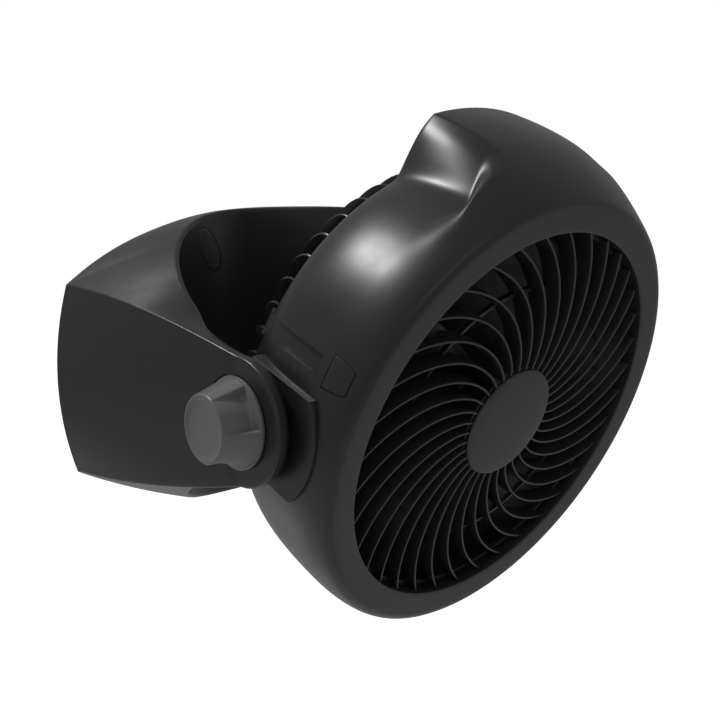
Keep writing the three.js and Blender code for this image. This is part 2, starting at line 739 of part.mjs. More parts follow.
// The recess under the hood that the fingers go into.
function gripCutter() {
  const stops = [rimAhead - 2, rimAhead + 10, rimAhead + 24, rimAhead + 36, rimAhead + gripDepth];
  const angles = [-1, -0.6, -0.2, 0.2, 0.6, 1].map((part) => radians(part * gripHalfAngle));
  const rings = stops.map((ahead, k) => {
    const closing = k === stops.length - 1 ? 4 : 0;
    const floor = drumRadiusAt(ahead) + closing;
    const roof = hoodRadiusAt(ahead) - housingWall - closing;
    const over = angles.map((angle) => pointInHead(roof, angle, ahead));
    const under = angles.map((angle) => pointInHead(floor, angle, ahead)).reverse();
    return [...over, ...under];
  });
  return solidOf(skin(rings));
}

// A boss beside the tilt axis: round in front, level above and below, and cut off behind the axis.
function sideBoss(side) {
  const from = Math.asin(bossTop / bossRadius);
  const outline = [[bossRear, bossTop]];
  for (let i = 0; i <= 14; i += 1) {
    const angle = from * (1 - i / 7);
    outline.push([-bossRadius * Math.cos(angle), bossRadius * Math.sin(angle)]);
  }
  outline.push([bossRear, -bossTop]);
  const block = prism(outline, bossDepth).rotateX(Math.PI / 2).rotateZ(Math.PI / 2);
  return solidOf(mirrored(side, block.translate(bossHalf - bossDepth, 0, 0)));
}

// The channel behind a clip: its floor follows the drum and ramps up at its front end.
function channelBlock(side, width, below, top) {
  const lowest = rimRadius - housingWall - seatGap;
  const floor = [
    [rimAhead - 3, 1.2], [rimAhead + 12, 3.4], [5, channelDepth],
    [channelFrontAhead - channelRamp, channelDepth], [channelFrontAhead, -0.4],
  ];
  const rings = floor.map(([ahead, depth]) => {
    const level = Math.max(drumRadiusAt(ahead) - depth - below, lowest);
    const corners = [[-1, level], [1, level], [1, top], [-1, top]];
    return corners.map(([edge, up]) => v3(edge * width / 2, -ahead, up));
  });
  return solidOf(skin(rings).rotateY(radians(side * clipAngle)));
}

// The clip: a tongue that narrows towards its front.
function clipPrism(side, grow, from) {
  const half = clipWidth / 2 + grow;
  const right = clipCorners.map(([inwards, share]) => (
    [half - inwards, grow - clipRearAhead - share * (clipLength + 2 * grow)]
  ));
  const outline = [...right, ...right.map(([across, y]) => [-across, y]).reverse()];
  const block = prism(outline, 30).translate(0, 0, from);
  block.rotateY(radians(side * clipAngle));
  return solidOf(block);
}

const grilleScrewAngles = [45, 135, 225, 315];
const grilleScrewRadius = openingRadius + 8.5;
const rearScrewAngles = [40, 140, 220, 320];
const rearScrewRadius = rimRadius - 9.5;
const rearRingFront = rimAhead + 6.7;

// Blocks that stand on the drum's inner wall and take the rear grille's screws.
function rearBosses(blank) {
  const rear = rearRingFront + seatGap;
  return joined(...rearScrewAngles.map((angle) => {
    const block = new THREE.BoxGeometry(8, 17, 24).translate(0, -(rear + 8.5), rearScrewRadius + 8);
    return solidOf(block.rotateY(radians(angle)));
  })).intersect(blank);
}

function housingShell(blank) {
  const hollow = ductCutter();
  const lipRear = lipAhead - lipDepth;
  let shell = blank.subtract(hollow);
  for (const side of [1, -1]) {
    const channelFloor = channelBlock(side, channelWidth + 5, channelWall, drumRadius).intersect(blank);
    const clipFloor = clipPrism(side, 2, drumRadius - clipThickness - 6).intersect(blank);
    shell = joined(shell, sideBoss(side), channelFloor, clipFloor);
  }
  shell = joined(
    shell,
    aroundAxis(() => solidOf(rod(4, lipRear, lipAhead - 1, 10)), grilleScrewAngles, grilleScrewRadius),
    rearBosses(blank),
  );
  for (const side of [1, -1]) {
    shell = cut(
      shell,
      channelBlock(side, channelWidth, 0, drumRadius + 10),
      clipPrism(side, 0, drumRadius - clipThickness - 3),
    );
    const bore = studRadius + seatGap;
    const studHole = turnedOnX([
      [0, bossHalf - 20], [bore, bossHalf - 20], [bore, bossHalf + 9], [0, bossHalf + 9],
    ], 16);
    shell = shell.subtract(solidOf(mirrored(side, studHole)));
  }
  const bore = (from, to) => () => solidOf(rod(screwBoreRadius, from, to, 8));
  return cut(
    shell,
    gripCutter(),
    aroundAxis(bore(lipRear - 2, lipRear + 5.5), grilleScrewAngles, grilleScrewRadius),
    aroundAxis(bore(rearRingFront - 2, rearRingFront + 12), rearScrewAngles, rearScrewRadius),
  );
}

const grilleClip = (side, blank) => (
  clipPrism(side, -seatGap, drumRadius - clipThickness - 3 + seatGap).intersect(blank)
);

// ---------------------------------------------------------------- grilles

// A bar of rectangular section along a path; "into" points from its outer edge to its inner edge.
function bar(path, into, width, depth, taper = 1.25) {
  const rings = path.map((p, i) => {
    const ahead = path[Math.min(i + 1, path.length - 1)].clone();
    const along = ahead.sub(path[Math.max(i - 1, 0)]).normalize();
    const side = along.cross(into[i]).normalize().multiplyScalar(width / 2);
    const inner = p.clone().addScaledVector(into[i], depth);
    return [
      p.clone().add(side), p.clone().sub(side),
      inner.clone().addScaledVector(side, -taper), inner.clone().addScaledVector(side, taper),
    ];
  });
  return skin(rings);
}

// How far a front rib has turned at a radius, in degrees.
function ribTurn(radius) {
  const part = Math.max(radius - ribStraightRadius, 0) / (openingRadius - ribStraightRadius);
  return -ribTwist * Math.pow(part, ribBend);
}

const grilleRingFront = lipAhead - lipDepth - seatGap;

function frontGrille() {
  const start = hubRadius + seatGap;
  const tip = openingFlat - seatGap - ribWidth / 2;
  const radii = [start, ribStraightRadius + 6, openingRadius - 50, openingRadius - 25, tip];
  const back = v3(0, 1, 0);
  const path = radii.map((radius) => pointInHead(radius, radians(ribTurn(radius)), ribFrontAhead));
  const oneRib = bar(path, path.map(() => back), ribWidth, ribDepth);
  const ribs = Array.from({ length: ribCount }, (_, i) => (
    solidOf(oneRib.clone().rotateY((2 * Math.PI * i) / ribCount))
  ));
  const facing = Math.PI / ribCount;
  const hubFront = hubAhead - hubCapThickness - seatGap;
  const hub = ring(8, hubRadius + 0.9, ribFrontAhead - ribDepth + 1, hubFront, ribCount);
  const outer = openingRadius - 3 + grilleRingWidth;
  const ringRear = grilleRingFront - grilleRingDepth;
  const rimRing = ring(openingRadius - 3, outer, ringRear, grilleRingFront, ribCount);
  const bore = () => solidOf(rod(screwBoreRadius, grilleRingFront - 8, grilleRingFront + 3, 8));
  const rings = [hub, rimRing].map((one) => solidOf(one.rotateY(facing)));
  const whole = joined(...rings, ...ribs);
  return whole.subtract(aroundAxis(bore, grilleScrewAngles, grilleScrewRadius));
}

function hubCap() {
  const rear = hubAhead - hubCapThickness;
  const r = hubRadius;
  return solidOf(turned([
    [0, rear], [r, rear], [r, hubAhead - 0.8], [r - 0.8, hubAhead - 0.1],
    [r * 0.5, hubAhead + 0.4], [0, hubAhead + 0.5],
  ], 36));
}

// Outer edge of a rear rib, from the rim to the motor cup: [radius, ahead].
const rearLine = new THREE.SplineCurve([
  v2(rearBulgeRadius - 1.2, rimAhead + 3),
  v2(rearBulgeRadius, rimAhead - 6),
  v2(rearBulgeRadius - 6, rimAhead - 18),
  v2(rearBulgeRadius - 24, rearFaceAhead + 9),
  v2(rearBulgeRadius - 50, rearFaceAhead + 2.5),
  v2(cupRadius + 14, rearFaceAhead),
  v2(cupRadius - 1, rearFaceAhead - 0.5),
]);

function rearGrille() {
  const line = rearLine.getPoints(4);
  const start = line[0].x;
  const turnAt = (radius) => -rearRibTwist * Math.pow(Math.max(start + 1.4 - radius, 0) / start, 0.8);
  const path = line.map((p) => pointInHead(p.x, radians(turnAt(p.x)), p.y));
  // Each rib's depth runs square to its outer edge, towards the inside of the grille.
  const inward = line.map((p, i) => {
    const run = line[Math.min(i + 1, line.length - 1)].clone().sub(line[Math.max(i - 1, 0)]).normalize();
    const turn = radians(turnAt(p.x));
    return v3(run.y * Math.sin(turn), run.x, run.y * Math.cos(turn));
  });
  const oneRib = bar(path, inward, rearRibWidth, rearRibDepth, 1);
  const ribs = Array.from({ length: rearRibCount }, (_, i) => (
    solidOf(oneRib.clone().rotateY((2 * Math.PI * i) / rearRibCount))
  ));
  const outer = rimRadius - housingWall - 2 * seatGap - 0.5;
  const rimRing = ring(outer - 15, outer, rearRingFront - 3.5, rearRingFront, rearRibCount);
  const cup = turned([
    [speedShaftRadius + seatGap, cupRearAhead], [cupRadius, cupRearAhead], [cupRadius, cupFrontAhead],
    [cupRadius - cupWall, cupFrontAhead], [cupRadius - cupWall, cupRearAhead + cupWall],
    [speedShaftRadius + seatGap, cupRearAhead + cupWall],
  ], rearRibCount);
  const bossRear = rearRingFront - 3.5;
  const standoff = () => solidOf(rod(4.5, cupRearAhead + 1, motorRearAhead - seatGap, 12));
  const holeThrough = () => solidOf(rod(screwBoreRadius, cupRearAhead - 5, motorRearAhead + 5, 8));
  const rimBore = () => solidOf(rod(screwBoreRadius, rearRingFront - 9, rearRingFront + 3, 8));
  const headRoom = () => solidOf(rod(screwHeadRadius + 1.2, bossRear - 11, bossRear, 12));
  const glandHole = () => solidOf(rod(glandRadius + seatGap, cupRearAhead - 3, cupRearAhead + 6, 12));
  const whole = joined(
    solidOf(rimRing), solidOf(cup), ...ribs,
    aroundAxis(standoff, motorScrewAngles, motorScrewCircle),
  );
  return cut(
    whole,
    aroundAxis(holeThrough, motorScrewAngles, motorScrewCircle),
    aroundAxis(rimBore, rearScrewAngles, rearScrewRadius),
    aroundAxis(headRoom, rearScrewAngles, rearScrewRadius),
    aroundAxis(glandHole, [180], glandFromAxis),
  );
}

// ---------------------------------------------------------------- motor and switch

const motorScrewAngles = [0, 120, 240];
const glandRadius = 4.5;
const glandFromAxis = 34;

// A deep-drawn motor cover: a cup with a bearing seat in its end.
function motorCover(endAhead, openAhead) {
  const inward = Math.sign(openAhead - endAhead);
  const wall = 2 * inward;
  const r = motorRadius - 1;
  const seat = bearingRadius + seatGap / 2;
  const boss = endAhead + inward * (bearingLength + 2);
  return solidOf(turned([
    [shaftRadius + 1.5, endAhead], [r - 8, endAhead], [r, endAhead + 4 * wall], [r, openAhead],
    [r - 2, openAhead], [r - 2, endAhead + 4.4 * wall], [r - 8.5, endAhead + wall],
    [seat + 2.5, endAhead + wall], [seat + 2.5, boss], [seat, boss],
    [seat, endAhead + wall], [shaftRadius + 1.5, endAhead + wall],
  ], 24));
}

function motorRearCover() {
  const bore = () => solidOf(rod(screwBoreRadius, motorRearAhead - 4, motorRearAhead + 5, 8));
  const cover = motorCover(motorRearAhead, statorRearAhead - seatGap);
  return cover.subtract(aroundAxis(bore, motorScrewAngles, motorScrewCircle));
}

const motorFrontCover = () => motorCover(motorFrontAhead, statorFrontAhead + seatGap);

function stator() {
  const bore = rotorRadius + 0.6;
  return solidOf(ring(bore, motorRadius, statorRearAhead, statorFrontAhead, 36));
}

// The end of the copper winding: a bundle that stands off one face of the stator.
function winding(from, to) {
  const [inner, outer] = [rotorRadius + 3, motorRadius - 8];
  const soft = 2 * Math.sign(to - from);
  return solidOf(turned([
    [inner, from], [outer, from], [outer, to - soft], [outer - 2, to], [inner, to],
  ], 18));
}

function bearing(endAhead, inward) {
  const near = endAhead + inward * (2 + seatGap);
  const far = near + inward * (bearingLength - seatGap);
  return solidOf(ring(shaftRadius + runningGap, bearingRadius, Math.min(near, far), Math.max(near, far), 18));
}

function motorShaft() {
  return solidOf(turned([
    [0, motorRearAhead + 3], [shaftRadius, motorRearAhead + 3], [shaftRadius, shaftFront - 1],
    [shaftRadius - 1, shaftFront], [0, shaftFront],
  ], 18));
}

function rotor() {
  const bore = shaftRadius + seatGap;
  return solidOf(ring(bore, rotorRadius, statorRearAhead + 0.5, statorFrontAhead - 0.5, 24));
}

function speedSwitch() {
  const front = cupRearAhead + cupWall + seatGap + switchDepth;
  const box = new THREE.BoxGeometry(switchWidth, switchDepth, switchWidth);
  box.translate(0, -(front - switchDepth / 2), 0);
  const shaft = rod(speedShaftRadius, cupRearAhead - 9, front - 4, 20);
  return solidOf(box).add(solidOf(shaft));
}

function speedKnob() {
  const front = cupRearAhead - seatGap;
  const rear = front - speedKnobLength;
  const r = speedKnobRadius;
  const body = solidOf(turned([
    [0, rear + 4], [r - 2.5, rear + 4], [r - 1.5, rear + 4.6], [r, front - 1], [r, front], [0, front],
  ], 28));
  const grip = solidOf(new THREE.BoxGeometry(6.5, speedKnobLength - 2, 2 * r - 5)
    .translate(0, -(rear + speedKnobLength / 2), 0));
  const bore = solidOf(rod(speedShaftRadius + 0.08, cupRearAhead - 9 - seatGap, front + 1, 20));
  return joined(body, grip).subtract(bore);
}

function capacitor() {
  const rear = cupRearAhead + cupWall + seatGap;
  const box = new THREE.BoxGeometry(...capacitorSize);
  return solidOf(box.translate(0, -(rear + capacitorSize[1] / 2), 31).rotateY(radians(60)));
}

// The bush that the mains cord comes in through, at the bottom of the cup's rear face.
function cordGland() {
  const [r, bore] = [glandRadius, 2.8];
  const [rear, front] = [cupRearAhead - seatGap, cupRearAhead + cupWall + seatGap];
  const bush = turned([
    [bore, rear - 6], [r + 0.6, rear - 6], [r + 1.8, rear], [r, rear], [r, front], [r + 1.5, front],
    [r + 1.5, front + 1.8], [bore, front + 1.8],
  ], 16);
  return solidOf(bush.translate(0, 0, -glandFromAxis));
}

// ---------------------------------------------------------------- impeller

// One blade: sections at growing radii, each a thin cambered plate wrapped round its radius.
function blade() {
  const stations = [0, 0.2, 0.45, 0.7, 0.88, 1];
  const rings = stations.map((t) => {
    const radius = impellerHubRadius - 2 + (bladeTipRadius - impellerHubRadius + 2) * t;
    const chord = 40 + 34 * Math.sin(Math.PI * Math.min(0.2 + 0.62 * t, 1) * 0.8);
    const pitch = radians(38 - 17 * t);
    const sweep = 16 * t * t;
    const half = bladeThickness / 2 * (1 - 0.35 * t);
    const side = (sign) => [-1, -0.4, 0.4, 1].map((u) => {
      const edge = Math.abs(u) === 1 ? 0.35 : 1;
      const off = (1 - u * u) * chord * bladeCamber + sign * half * edge;
      const across = u * chord / 2 * Math.cos(pitch) - off * Math.sin(pitch) + sweep;
      const ahead = u * chord / 2 * Math.sin(pitch) + off * Math.cos(pitch);
      return pointInHead(radius, across / radius, impellerAhead - 2 + ahead);
    });
    return [...side(1), ...side(-1).reverse()];
  });
  return skin(rings);
}

function impeller() {
  const [rear, front] = [impellerAhead - impellerHubDepth / 2, impellerAhead + impellerHubDepth / 2];
  const r = impellerHubRadius;
  const hub = solidOf(turned([
    [shaftRadius + seatGap, rear + 3], [r - 3, rear + 3], [r - 3, rear], [r, rear], [r, front - 6],
    [r - 2, front - 2], [r - 6, front], [shaftRadius + seatGap, front],
  ], 25));
  const one = blade();
  const blades = Array.from({ length: bladeCount }, (_, i) => (
    solidOf(one.clone().rotateY((2 * Math.PI * i) / bladeCount))
  ));
  return joined(hub, ...blades);
}

function spinnerNut() {
  const rear = impellerAhead + impellerHubDepth / 2 + seatGap;
  const front = shaftFront + noseCapThickness;
  return solidOf(turned([
    [0, shaftFront + seatGap], [shaftRadius + 0.15, shaftFront + seatGap], [shaftRadius + 0.15, rear],
    [13, rear], [13, rear + 2], [9, rear + 3], [8, front], [0, front],
  ], 18));
}

// ---------------------------------------------------------------- assembly

const fan = new THREE.Group();
fan.name = 'air_circulator_fan';
const head = new THREE.Group();
head.position.set(0, -pivotToWall, 0);
head.rotation.x = radians(restTilt);
const pivots = new THREE.Group();
pivots.position.set(0, -pivotToWall, 0);
fan.add(head, pivots);

function place(parent, name, solid, finish) {
  const mesh = new THREE.Mesh(geometryOf(solid), new THREE.MeshStandardMaterial(finishes[finish]));
  mesh.name = name;
  parent.add(mesh);
}

function placeScrews(what, headAt, length, angles, radius) {
  angles.forEach((angle, i) => {
    const screw = () => screwAlongAxis(headAt, length);
    place(head, `${what}_screw_${i + 1}`, aroundAxis(screw, [angle], radius), 'steel');
  });
}

const sides = [[1, 'right'], [-1, 'left']];

const yokeOuter = joined(yokeBlank(0, 0), armEnd(1), armEnd(-1));
place(fan, 'base_shell', baseShell(yokeOuter), 'blackPlastic');
place(fan, 'wall_plate', wallPlate(), 'innerPlastic');
plateScrewPlaces.forEach((at, i) => place(fan, `plate_screw_${i + 1}`, plateScrew(at), 'steel'));
for (const [side, name] of sides) {
  place(fan, `screw_plug_${name}`, screwPlug(side, yokeOuter), 'blackPlastic');
  place(pivots, `friction_washer_${name}`, frictionWasher(side), 'rubber');
  place(pivots, `lock_knob_${name}`, lockKnob(side), 'greyPlastic');
  place(pivots, `lock_stud_${name}`, lockStud(side), 'steel');
}

const housingSolid = housingBlank();
place(head, 'housing_shell', housingShell(housingSolid), 'blackPlastic');
for (const [side, name] of sides) {
  place(head, `grille_clip_${name}`, grilleClip(side, housingSolid), 'blackPlastic');
  place(head, `lock_nut_${name}`, lockNut(side), 'brass');
}
place(head, 'front_grille', frontGrille(), 'blackPlastic');
place(head, 'hub_cap', hubCap(), 'blackPlastic');
placeScrews('grille', grilleRingFront - grilleRingDepth - seatGap, 8, grilleScrewAngles, grilleScrewRadius);
place(head, 'rear_grille', rearGrille(), 'blackPlastic');
placeScrews('rear', rearRingFront - 3.5 - seatGap, 14, rearScrewAngles, rearScrewRadius);

place(head, 'motor_rear_cover', motorRearCover(), 'castAlloy');
place(head, 'motor_front_cover', motorFrontCover(), 'castAlloy');
place(head, 'stator_core', stator(), 'stackSteel');
place(head, 'winding_front', winding(statorFrontAhead + seatGap, statorFrontAhead + 7), 'copper');
place(head, 'winding_rear', winding(statorRearAhead - seatGap, statorRearAhead - 7), 'copper');
place(head, 'bearing_front', bearing(motorFrontAhead, -1), 'steel');
place(head, 'bearing_rear', bearing(motorRearAhead, 1), 'steel');
const motorScrewLength = motorRearAhead - cupRearAhead + 5;
placeScrews('motor', cupRearAhead - seatGap, motorScrewLength, motorScrewAngles, motorScrewCircle);
place(head, 'speed_switch', speedSwitch(), 'innerPlastic');
place(head, 'run_capacitor', capacitor(), 'innerPlastic');
place(head, 'cord_gland', cordGland(), 'rubber');
place(head, 'speed_knob', speedKnob(), 'innerPlastic');

place(head, 'motor_shaft', motorShaft(), 'steel');
place(head, 'rotor_core', rotor(), 'stackSteel');
place(head, 'impeller', impeller(), 'bladePlastic');
place(head, 'spinner_nut', spinnerNut(), 'bladePlastic');

export default fan;
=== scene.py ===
# Air circulator fan on a wall yoke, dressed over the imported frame.
# The part's sizes are in millimetres and turned to metres where a mesh is made; lamps, the camera
# and the sizes inside node trees are in metres.
# In the head, "ahead" is the distance in front of the tilt axis along the fan's own axis, and
# angles round that axis are counted from the top towards +X.

import math

import bmesh
import bpy
import numpy as np
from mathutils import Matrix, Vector


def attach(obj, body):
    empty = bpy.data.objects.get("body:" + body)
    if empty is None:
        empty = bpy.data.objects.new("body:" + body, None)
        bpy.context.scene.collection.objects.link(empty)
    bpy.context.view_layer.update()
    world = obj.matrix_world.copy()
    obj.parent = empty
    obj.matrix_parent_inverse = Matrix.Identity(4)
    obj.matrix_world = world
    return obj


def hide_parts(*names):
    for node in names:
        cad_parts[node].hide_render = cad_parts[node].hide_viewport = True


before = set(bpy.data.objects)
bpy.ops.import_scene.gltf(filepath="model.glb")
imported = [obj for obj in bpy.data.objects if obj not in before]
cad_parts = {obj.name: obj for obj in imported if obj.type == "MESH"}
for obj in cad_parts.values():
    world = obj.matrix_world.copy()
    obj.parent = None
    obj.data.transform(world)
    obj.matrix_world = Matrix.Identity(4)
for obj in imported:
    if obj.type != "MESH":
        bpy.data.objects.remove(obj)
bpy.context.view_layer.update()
scene = bpy.context.scene

# ---------- sizes, as in the solids

PIVOT_TO_WALL = 158.6
REST_TILT = math.radians(18.68)

ARM_INNER = 142.8
ARM_TIP = 149.0
ARM_OUTER = 157.2
ARM_THIN = 32.0
ARM_TAPER = 30.0
ARM_END = 35.0
BACK_DEPTH = 12.0
CORNER = 96.0
FOOT_HALF = 175.8
FOOT_BULGE = 9.2
FOOT_CORNER = 60.6
FOOT_TOP = 107.0
FOOT_LOW = 96.3
INNER_ROUND = 3.5
OUTER_ROUND = 1.6
FOOT_ROUND = 0.6
PLUG_HALF_WIDE = 9.3
PLUG_HALF_HIGH = 17.0
STUD_HOLE = 4.3
PLATE_SCREWS = ((110, 50), (-110, 50), (110, -50), (-110, -50))

OPENING = 120.0
CREASE_AHEAD = 58.8
CREASE = 136.8
DRUM = 144.0
WIDEST_AHEAD = 30.0
RIM = 135.5
RIM_AHEAD = -25.2
WALL = 2.8
HOOD = 165.3
HOOD_HALF_ANGLE = 15.0
SCOOP_ANGLE = 13.5
BOSS = 144.6
BOSS_BACK = 135.6
BOSS_RADIUS = 47.0
BOSS_TOP = 30.0
BOSS_REAR = 14.0
CLIP_ANGLE = 71.6
CHANNEL = 10.4

RIBS = 36
RIB_TWIST = 30.7
RIB_BEND = 1.25
RIB_STRAIGHT = 40.8
RIB_FRONT = 54.6
RIB_DEPTH = 12.0
HUB = 35.1
GRILLE_RING_FRONT = 48.7

REAR_RIBS = 54
REAR_RING_FRONT = -18.5
CUP = 50.0
CUP_REAR = -68.0
CUP_FRONT = -42.0
MOTOR_REAR = -52.0
MOTOR_SCREW_RADIUS = 29.0
MOTOR_SCREW_ANGLES = (0, 120, 240)
GLAND_DROP = 34.0

KNOB_FROM = 157.5
KNOB_TO = 178.1
KNOB_FLANGE = 24.8
KNOB_CAP = 18.1
FLUTE_CENTRE = 57.6
FLUTE_SPAN = 61.0

SIDES = ((1, "right"), (-1, "left"))
MM = 0.001


# ---------- meshes


def smoothstep(low, high, value):
    t = np.clip((value - low) / (high - low), 0.0, 1.0)
    return t * t * (3.0 - 2.0 * t)


def cubic(corners, t):
    """The place at t on a cubic curve given by four corners."""
    a, b, c, d = (np.array(p, float) for p in corners)
    return (1 - t) ** 3 * a + 3 * (1 - t) ** 2 * t * b + 3 * (1 - t) * t**2 * c + t**3 * d


def bezier(corners, count):
    return cubic(corners, np.linspace(0.0, 1.0, count)[:, None])


def bend(a, b, c, t):
    """The place at t on a curve that runs from a to c and is drawn towards b."""
    return (1 - t) ** 2 * a + 2 * t * (1 - t) * b + t * t * c


def from_head(points):
    """Head coordinates to the row frame, in millimetres."""
    p = np.asarray(points, float)
    c, s = math.cos(REST_TILT), math.sin(REST_TILT)
    y, z = p[..., 1], p[..., 2]
    return np.stack([p[..., 0], y * c - z * s - PIVOT_TO_WALL, y * s + z * c], axis=-1)


def head_point(radius, angle, ahead):
    """Head coordinates of a place at a radius, an angle in degrees and a distance ahead."""
    turn = np.radians(angle)
    radius, turn, ahead = np.broadcast_arrays(radius, turn, ahead)
    return np.stack([radius * np.sin(turn), -ahead, radius * np.cos(turn)], axis=-1)


def shade(mesh, angle):
    mesh.shade_smooth()
    mesh.set_sharp_from_angle(angle=math.radians(angle))


def linked(name, data):
    """A new object in the scene, for a mesh, a light or a camera."""
    made = bpy.data.objects.new(name, data)
    scene.collection.objects.link(made)
    return made


def points_piece(name, points, faces=()):
    """A plain mesh object from points in millimetres."""
    mesh = bpy.data.meshes.new(name)
    mesh.from_pydata([tuple(p) for p in np.asarray(points, float) * MM], [], [list(f) for f in faces])
    return linked(name, mesh)


def mesh_piece(name, points, faces, angle=32.0):
    """A mesh object with its doubles merged, its faces turned outwards and its shading set."""
    piece = points_piece(name, points, faces)
    tidy = bmesh.new()
    tidy.from_mesh(piece.data)
    bmesh.ops.remove_doubles(tidy, verts=tidy.verts, dist=2e-6)
    bmesh.ops.dissolve_degenerate(tidy, edges=tidy.edges, dist=1e-7)
    bmesh.ops.recalc_face_normals(tidy, faces=tidy.faces)
    tidy.to_mesh(piece.data)
    tidy.free()
    shade(piece.data, angle)
    return piece


def skin(rings, loop=False, caps=True):
    """Points and faces over a stack of rings, joined into a loop or closed by a cap at either end."""
    rings = np.asarray(rings, float)
    rows, count = rings.shape[:2]
    faces = []
    for k in range(rows if loop else rows - 1):
        a, b = k * count, ((k + 1) % rows) * count
        for i in range(count):
            j = (i + 1) % count
            faces.append((a + i, a + j, b + j, b + i))
    if caps and not loop:
        faces.append(tuple(range(count)))
        faces.append(tuple(range((rows - 1) * count, rows * count)))
    return rings.reshape(-1, 3), faces


def turned(profile, segments):
    """Rings of a solid of revolution about the fan's axis, from a closed list of (radius, ahead)."""
    profile = np.array(profile, float)
    angles = np.arange(segments) * 360.0 / segments
    return head_point(profile[:, 0][:, None], angles[None, :], profile[:, 1][:, None])


def hoop(name, profile, segments=96):
    """A solid of revolution, left in head coordinates."""
    return mesh_piece(name, *skin(turned(profile, segments), loop=True))


def turned_piece(name, profile, segments=96):
    """A solid of revolution, placed where the head rests."""
    points, faces = skin(turned(profile, segments), loop=True)
    return mesh_piece(name, from_head(points), faces)


def eased(corners, radius, steps=4):
    """A closed outline with each corner rounded off; a corner may state its own radius."""
    out = []
    for i, corner in enumerate(corners):
        p = np.array(corner[:2], float)
        a = np.array(corners[i - 1][:2], float) - p
        b = np.array(corners[(i + 1) % len(corners)][:2], float) - p
        la, lb = np.linalg.norm(a), np.linalg.norm(b)
        own = corner[2] if len(corner) > 2 else radius
        if own <= 0 or la < 1e-6 or lb < 1e-6:
            out.append(p)
            continue
        reach = min(own, 0.45 * la, 0.45 * lb)
        out += [bend(p + a / la * reach, p, p + b / lb * reach, k / steps) for k in range(steps + 1)]
    return [tuple(q) for q in out]


def block(outline, low, high, axis):
    """A straight prism over a closed outline of (u, v) points, from low to high along x or y."""
    u, v = np.array(outline, float).T
    rings = []
    for level in (low, high):
        flat = np.full(len(u), level)
        rings.append(np.stack({"x": (flat, u, v), "y": (u, flat, v)}[axis], axis=-1))
    return skin(rings)


def round_tool(radius, ends, centre, axis, count=48):
    """A cylinder between two ends on an axis."""
    angles = np.arange(count) * 2 * math.pi / count
    outline = np.stack([np.cos(angles) * radius + centre[0], np.sin(angles) * radius + centre[1]], axis=-1)
    return block(outline, *sorted(ends), axis)


def drop(piece):
    spare = piece.data
    bpy.data.objects.remove(piece)
    bpy.data.meshes.remove(spare)


def frozen(piece, step):
    """Puts what a modifier makes in place of the piece's own mesh."""
    old = piece.data
    made = bpy.data.meshes.new_from_object(piece.evaluated_get(bpy.context.evaluated_depsgraph_get()))
    piece.modifiers.remove(step)
    piece.data = made
    bpy.data.meshes.remove(old)


def carve(piece, tools, operation="DIFFERENCE", angle=32.0):
    """Cuts or joins tools, each (points in mm, faces), and drops them."""
    for points, faces in tools:
        tool = mesh_piece("tool", points, faces)
        step = piece.modifiers.new("step", "BOOLEAN")
        step.operation = operation
        step.solver = "EXACT"
        step.object = tool
        frozen(piece, step)
        drop(tool)
    shade(piece.data, angle)


def merged(name, pieces):
    """Several mesh objects made into one."""
    joined = bmesh.new()
    for piece in pieces:
        joined.from_mesh(piece.data)
    mesh = bpy.data.meshes.new(name)
    joined.to_mesh(mesh)
    joined.free()
    for piece in pieces:
        drop(piece)
    shade(mesh, 32.0)
    return linked(name, mesh)


def coat(piece, slot):
    piece.data.materials.clear()
    piece.data.materials.append(FINISH[slot])


def dress(piece, body, nodes, slot):
    """Coats a piece with its slot's finish, hangs it on its body and hides the solids it stands for."""
    coat(piece, slot)
    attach(piece, body)
    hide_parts(*nodes)


# ---------- node trees


def node(tree, kind, inputs=None, **settings):
    """Adds a node with its settings; an input takes a constant or is linked from a node's output."""
    made = tree.nodes.new(kind)
    for key, value in settings.items():
        setattr(made, key, value)
    for key, value in (inputs or {}).items():
        if isinstance(value, bpy.types.NodeSocket):
            tree.links.new(value, made.inputs[key])
        else:
            made.inputs[key].default_value = value
    return made


def result(tree, kind, inputs=None, **settings):
    """The first output of a new node."""
    return node(tree, kind, inputs, **settings).outputs[0]


def maths(tree, operation, *values):
    return result(tree, "ShaderNodeMath", dict(enumerate(values)), operation=operation)


def linear(code):
    """An sRGB hex colour as linear values."""
    parts = [int(code[i:i + 2], 16) / 255.0 for i in (1, 3, 5)]
    return tuple(c / 12.92 if c <= 0.04045 else ((c + 0.055) / 1.055) ** 2.4 for c in parts) + (1.0,)


def ramp(tree, source, low, high):
    """A blend over a noise's middle range, from (place, linear colour) to (place, linear colour)."""
    made = node(tree, "ShaderNodeValToRGB", {"Fac": source})
    bar = made.color_ramp
    bar.elements.remove(bar.elements[-1])
    bar.elements[0].position, bar.elements[0].color = low
    bar.elements.new(high[0]).color = high[1]
    return made.outputs["Color"]


def grey(value):
    return (value, value, value, 1.0)


def new_material(name):
    material = bpy.data.materials.new(name)
    material.use_nodes = True
    material.node_tree.nodes.clear()
    return material, material.node_tree


def noise(tree, place, scale, detail, rough=0.5):
    """A noise over the object's own coordinates, with scale in cells to a metre."""
    inputs = {"Scale": scale, "Detail": detail, "Roughness": rough, "Vector": place}
    return result(tree, "ShaderNodeTexNoise", inputs)


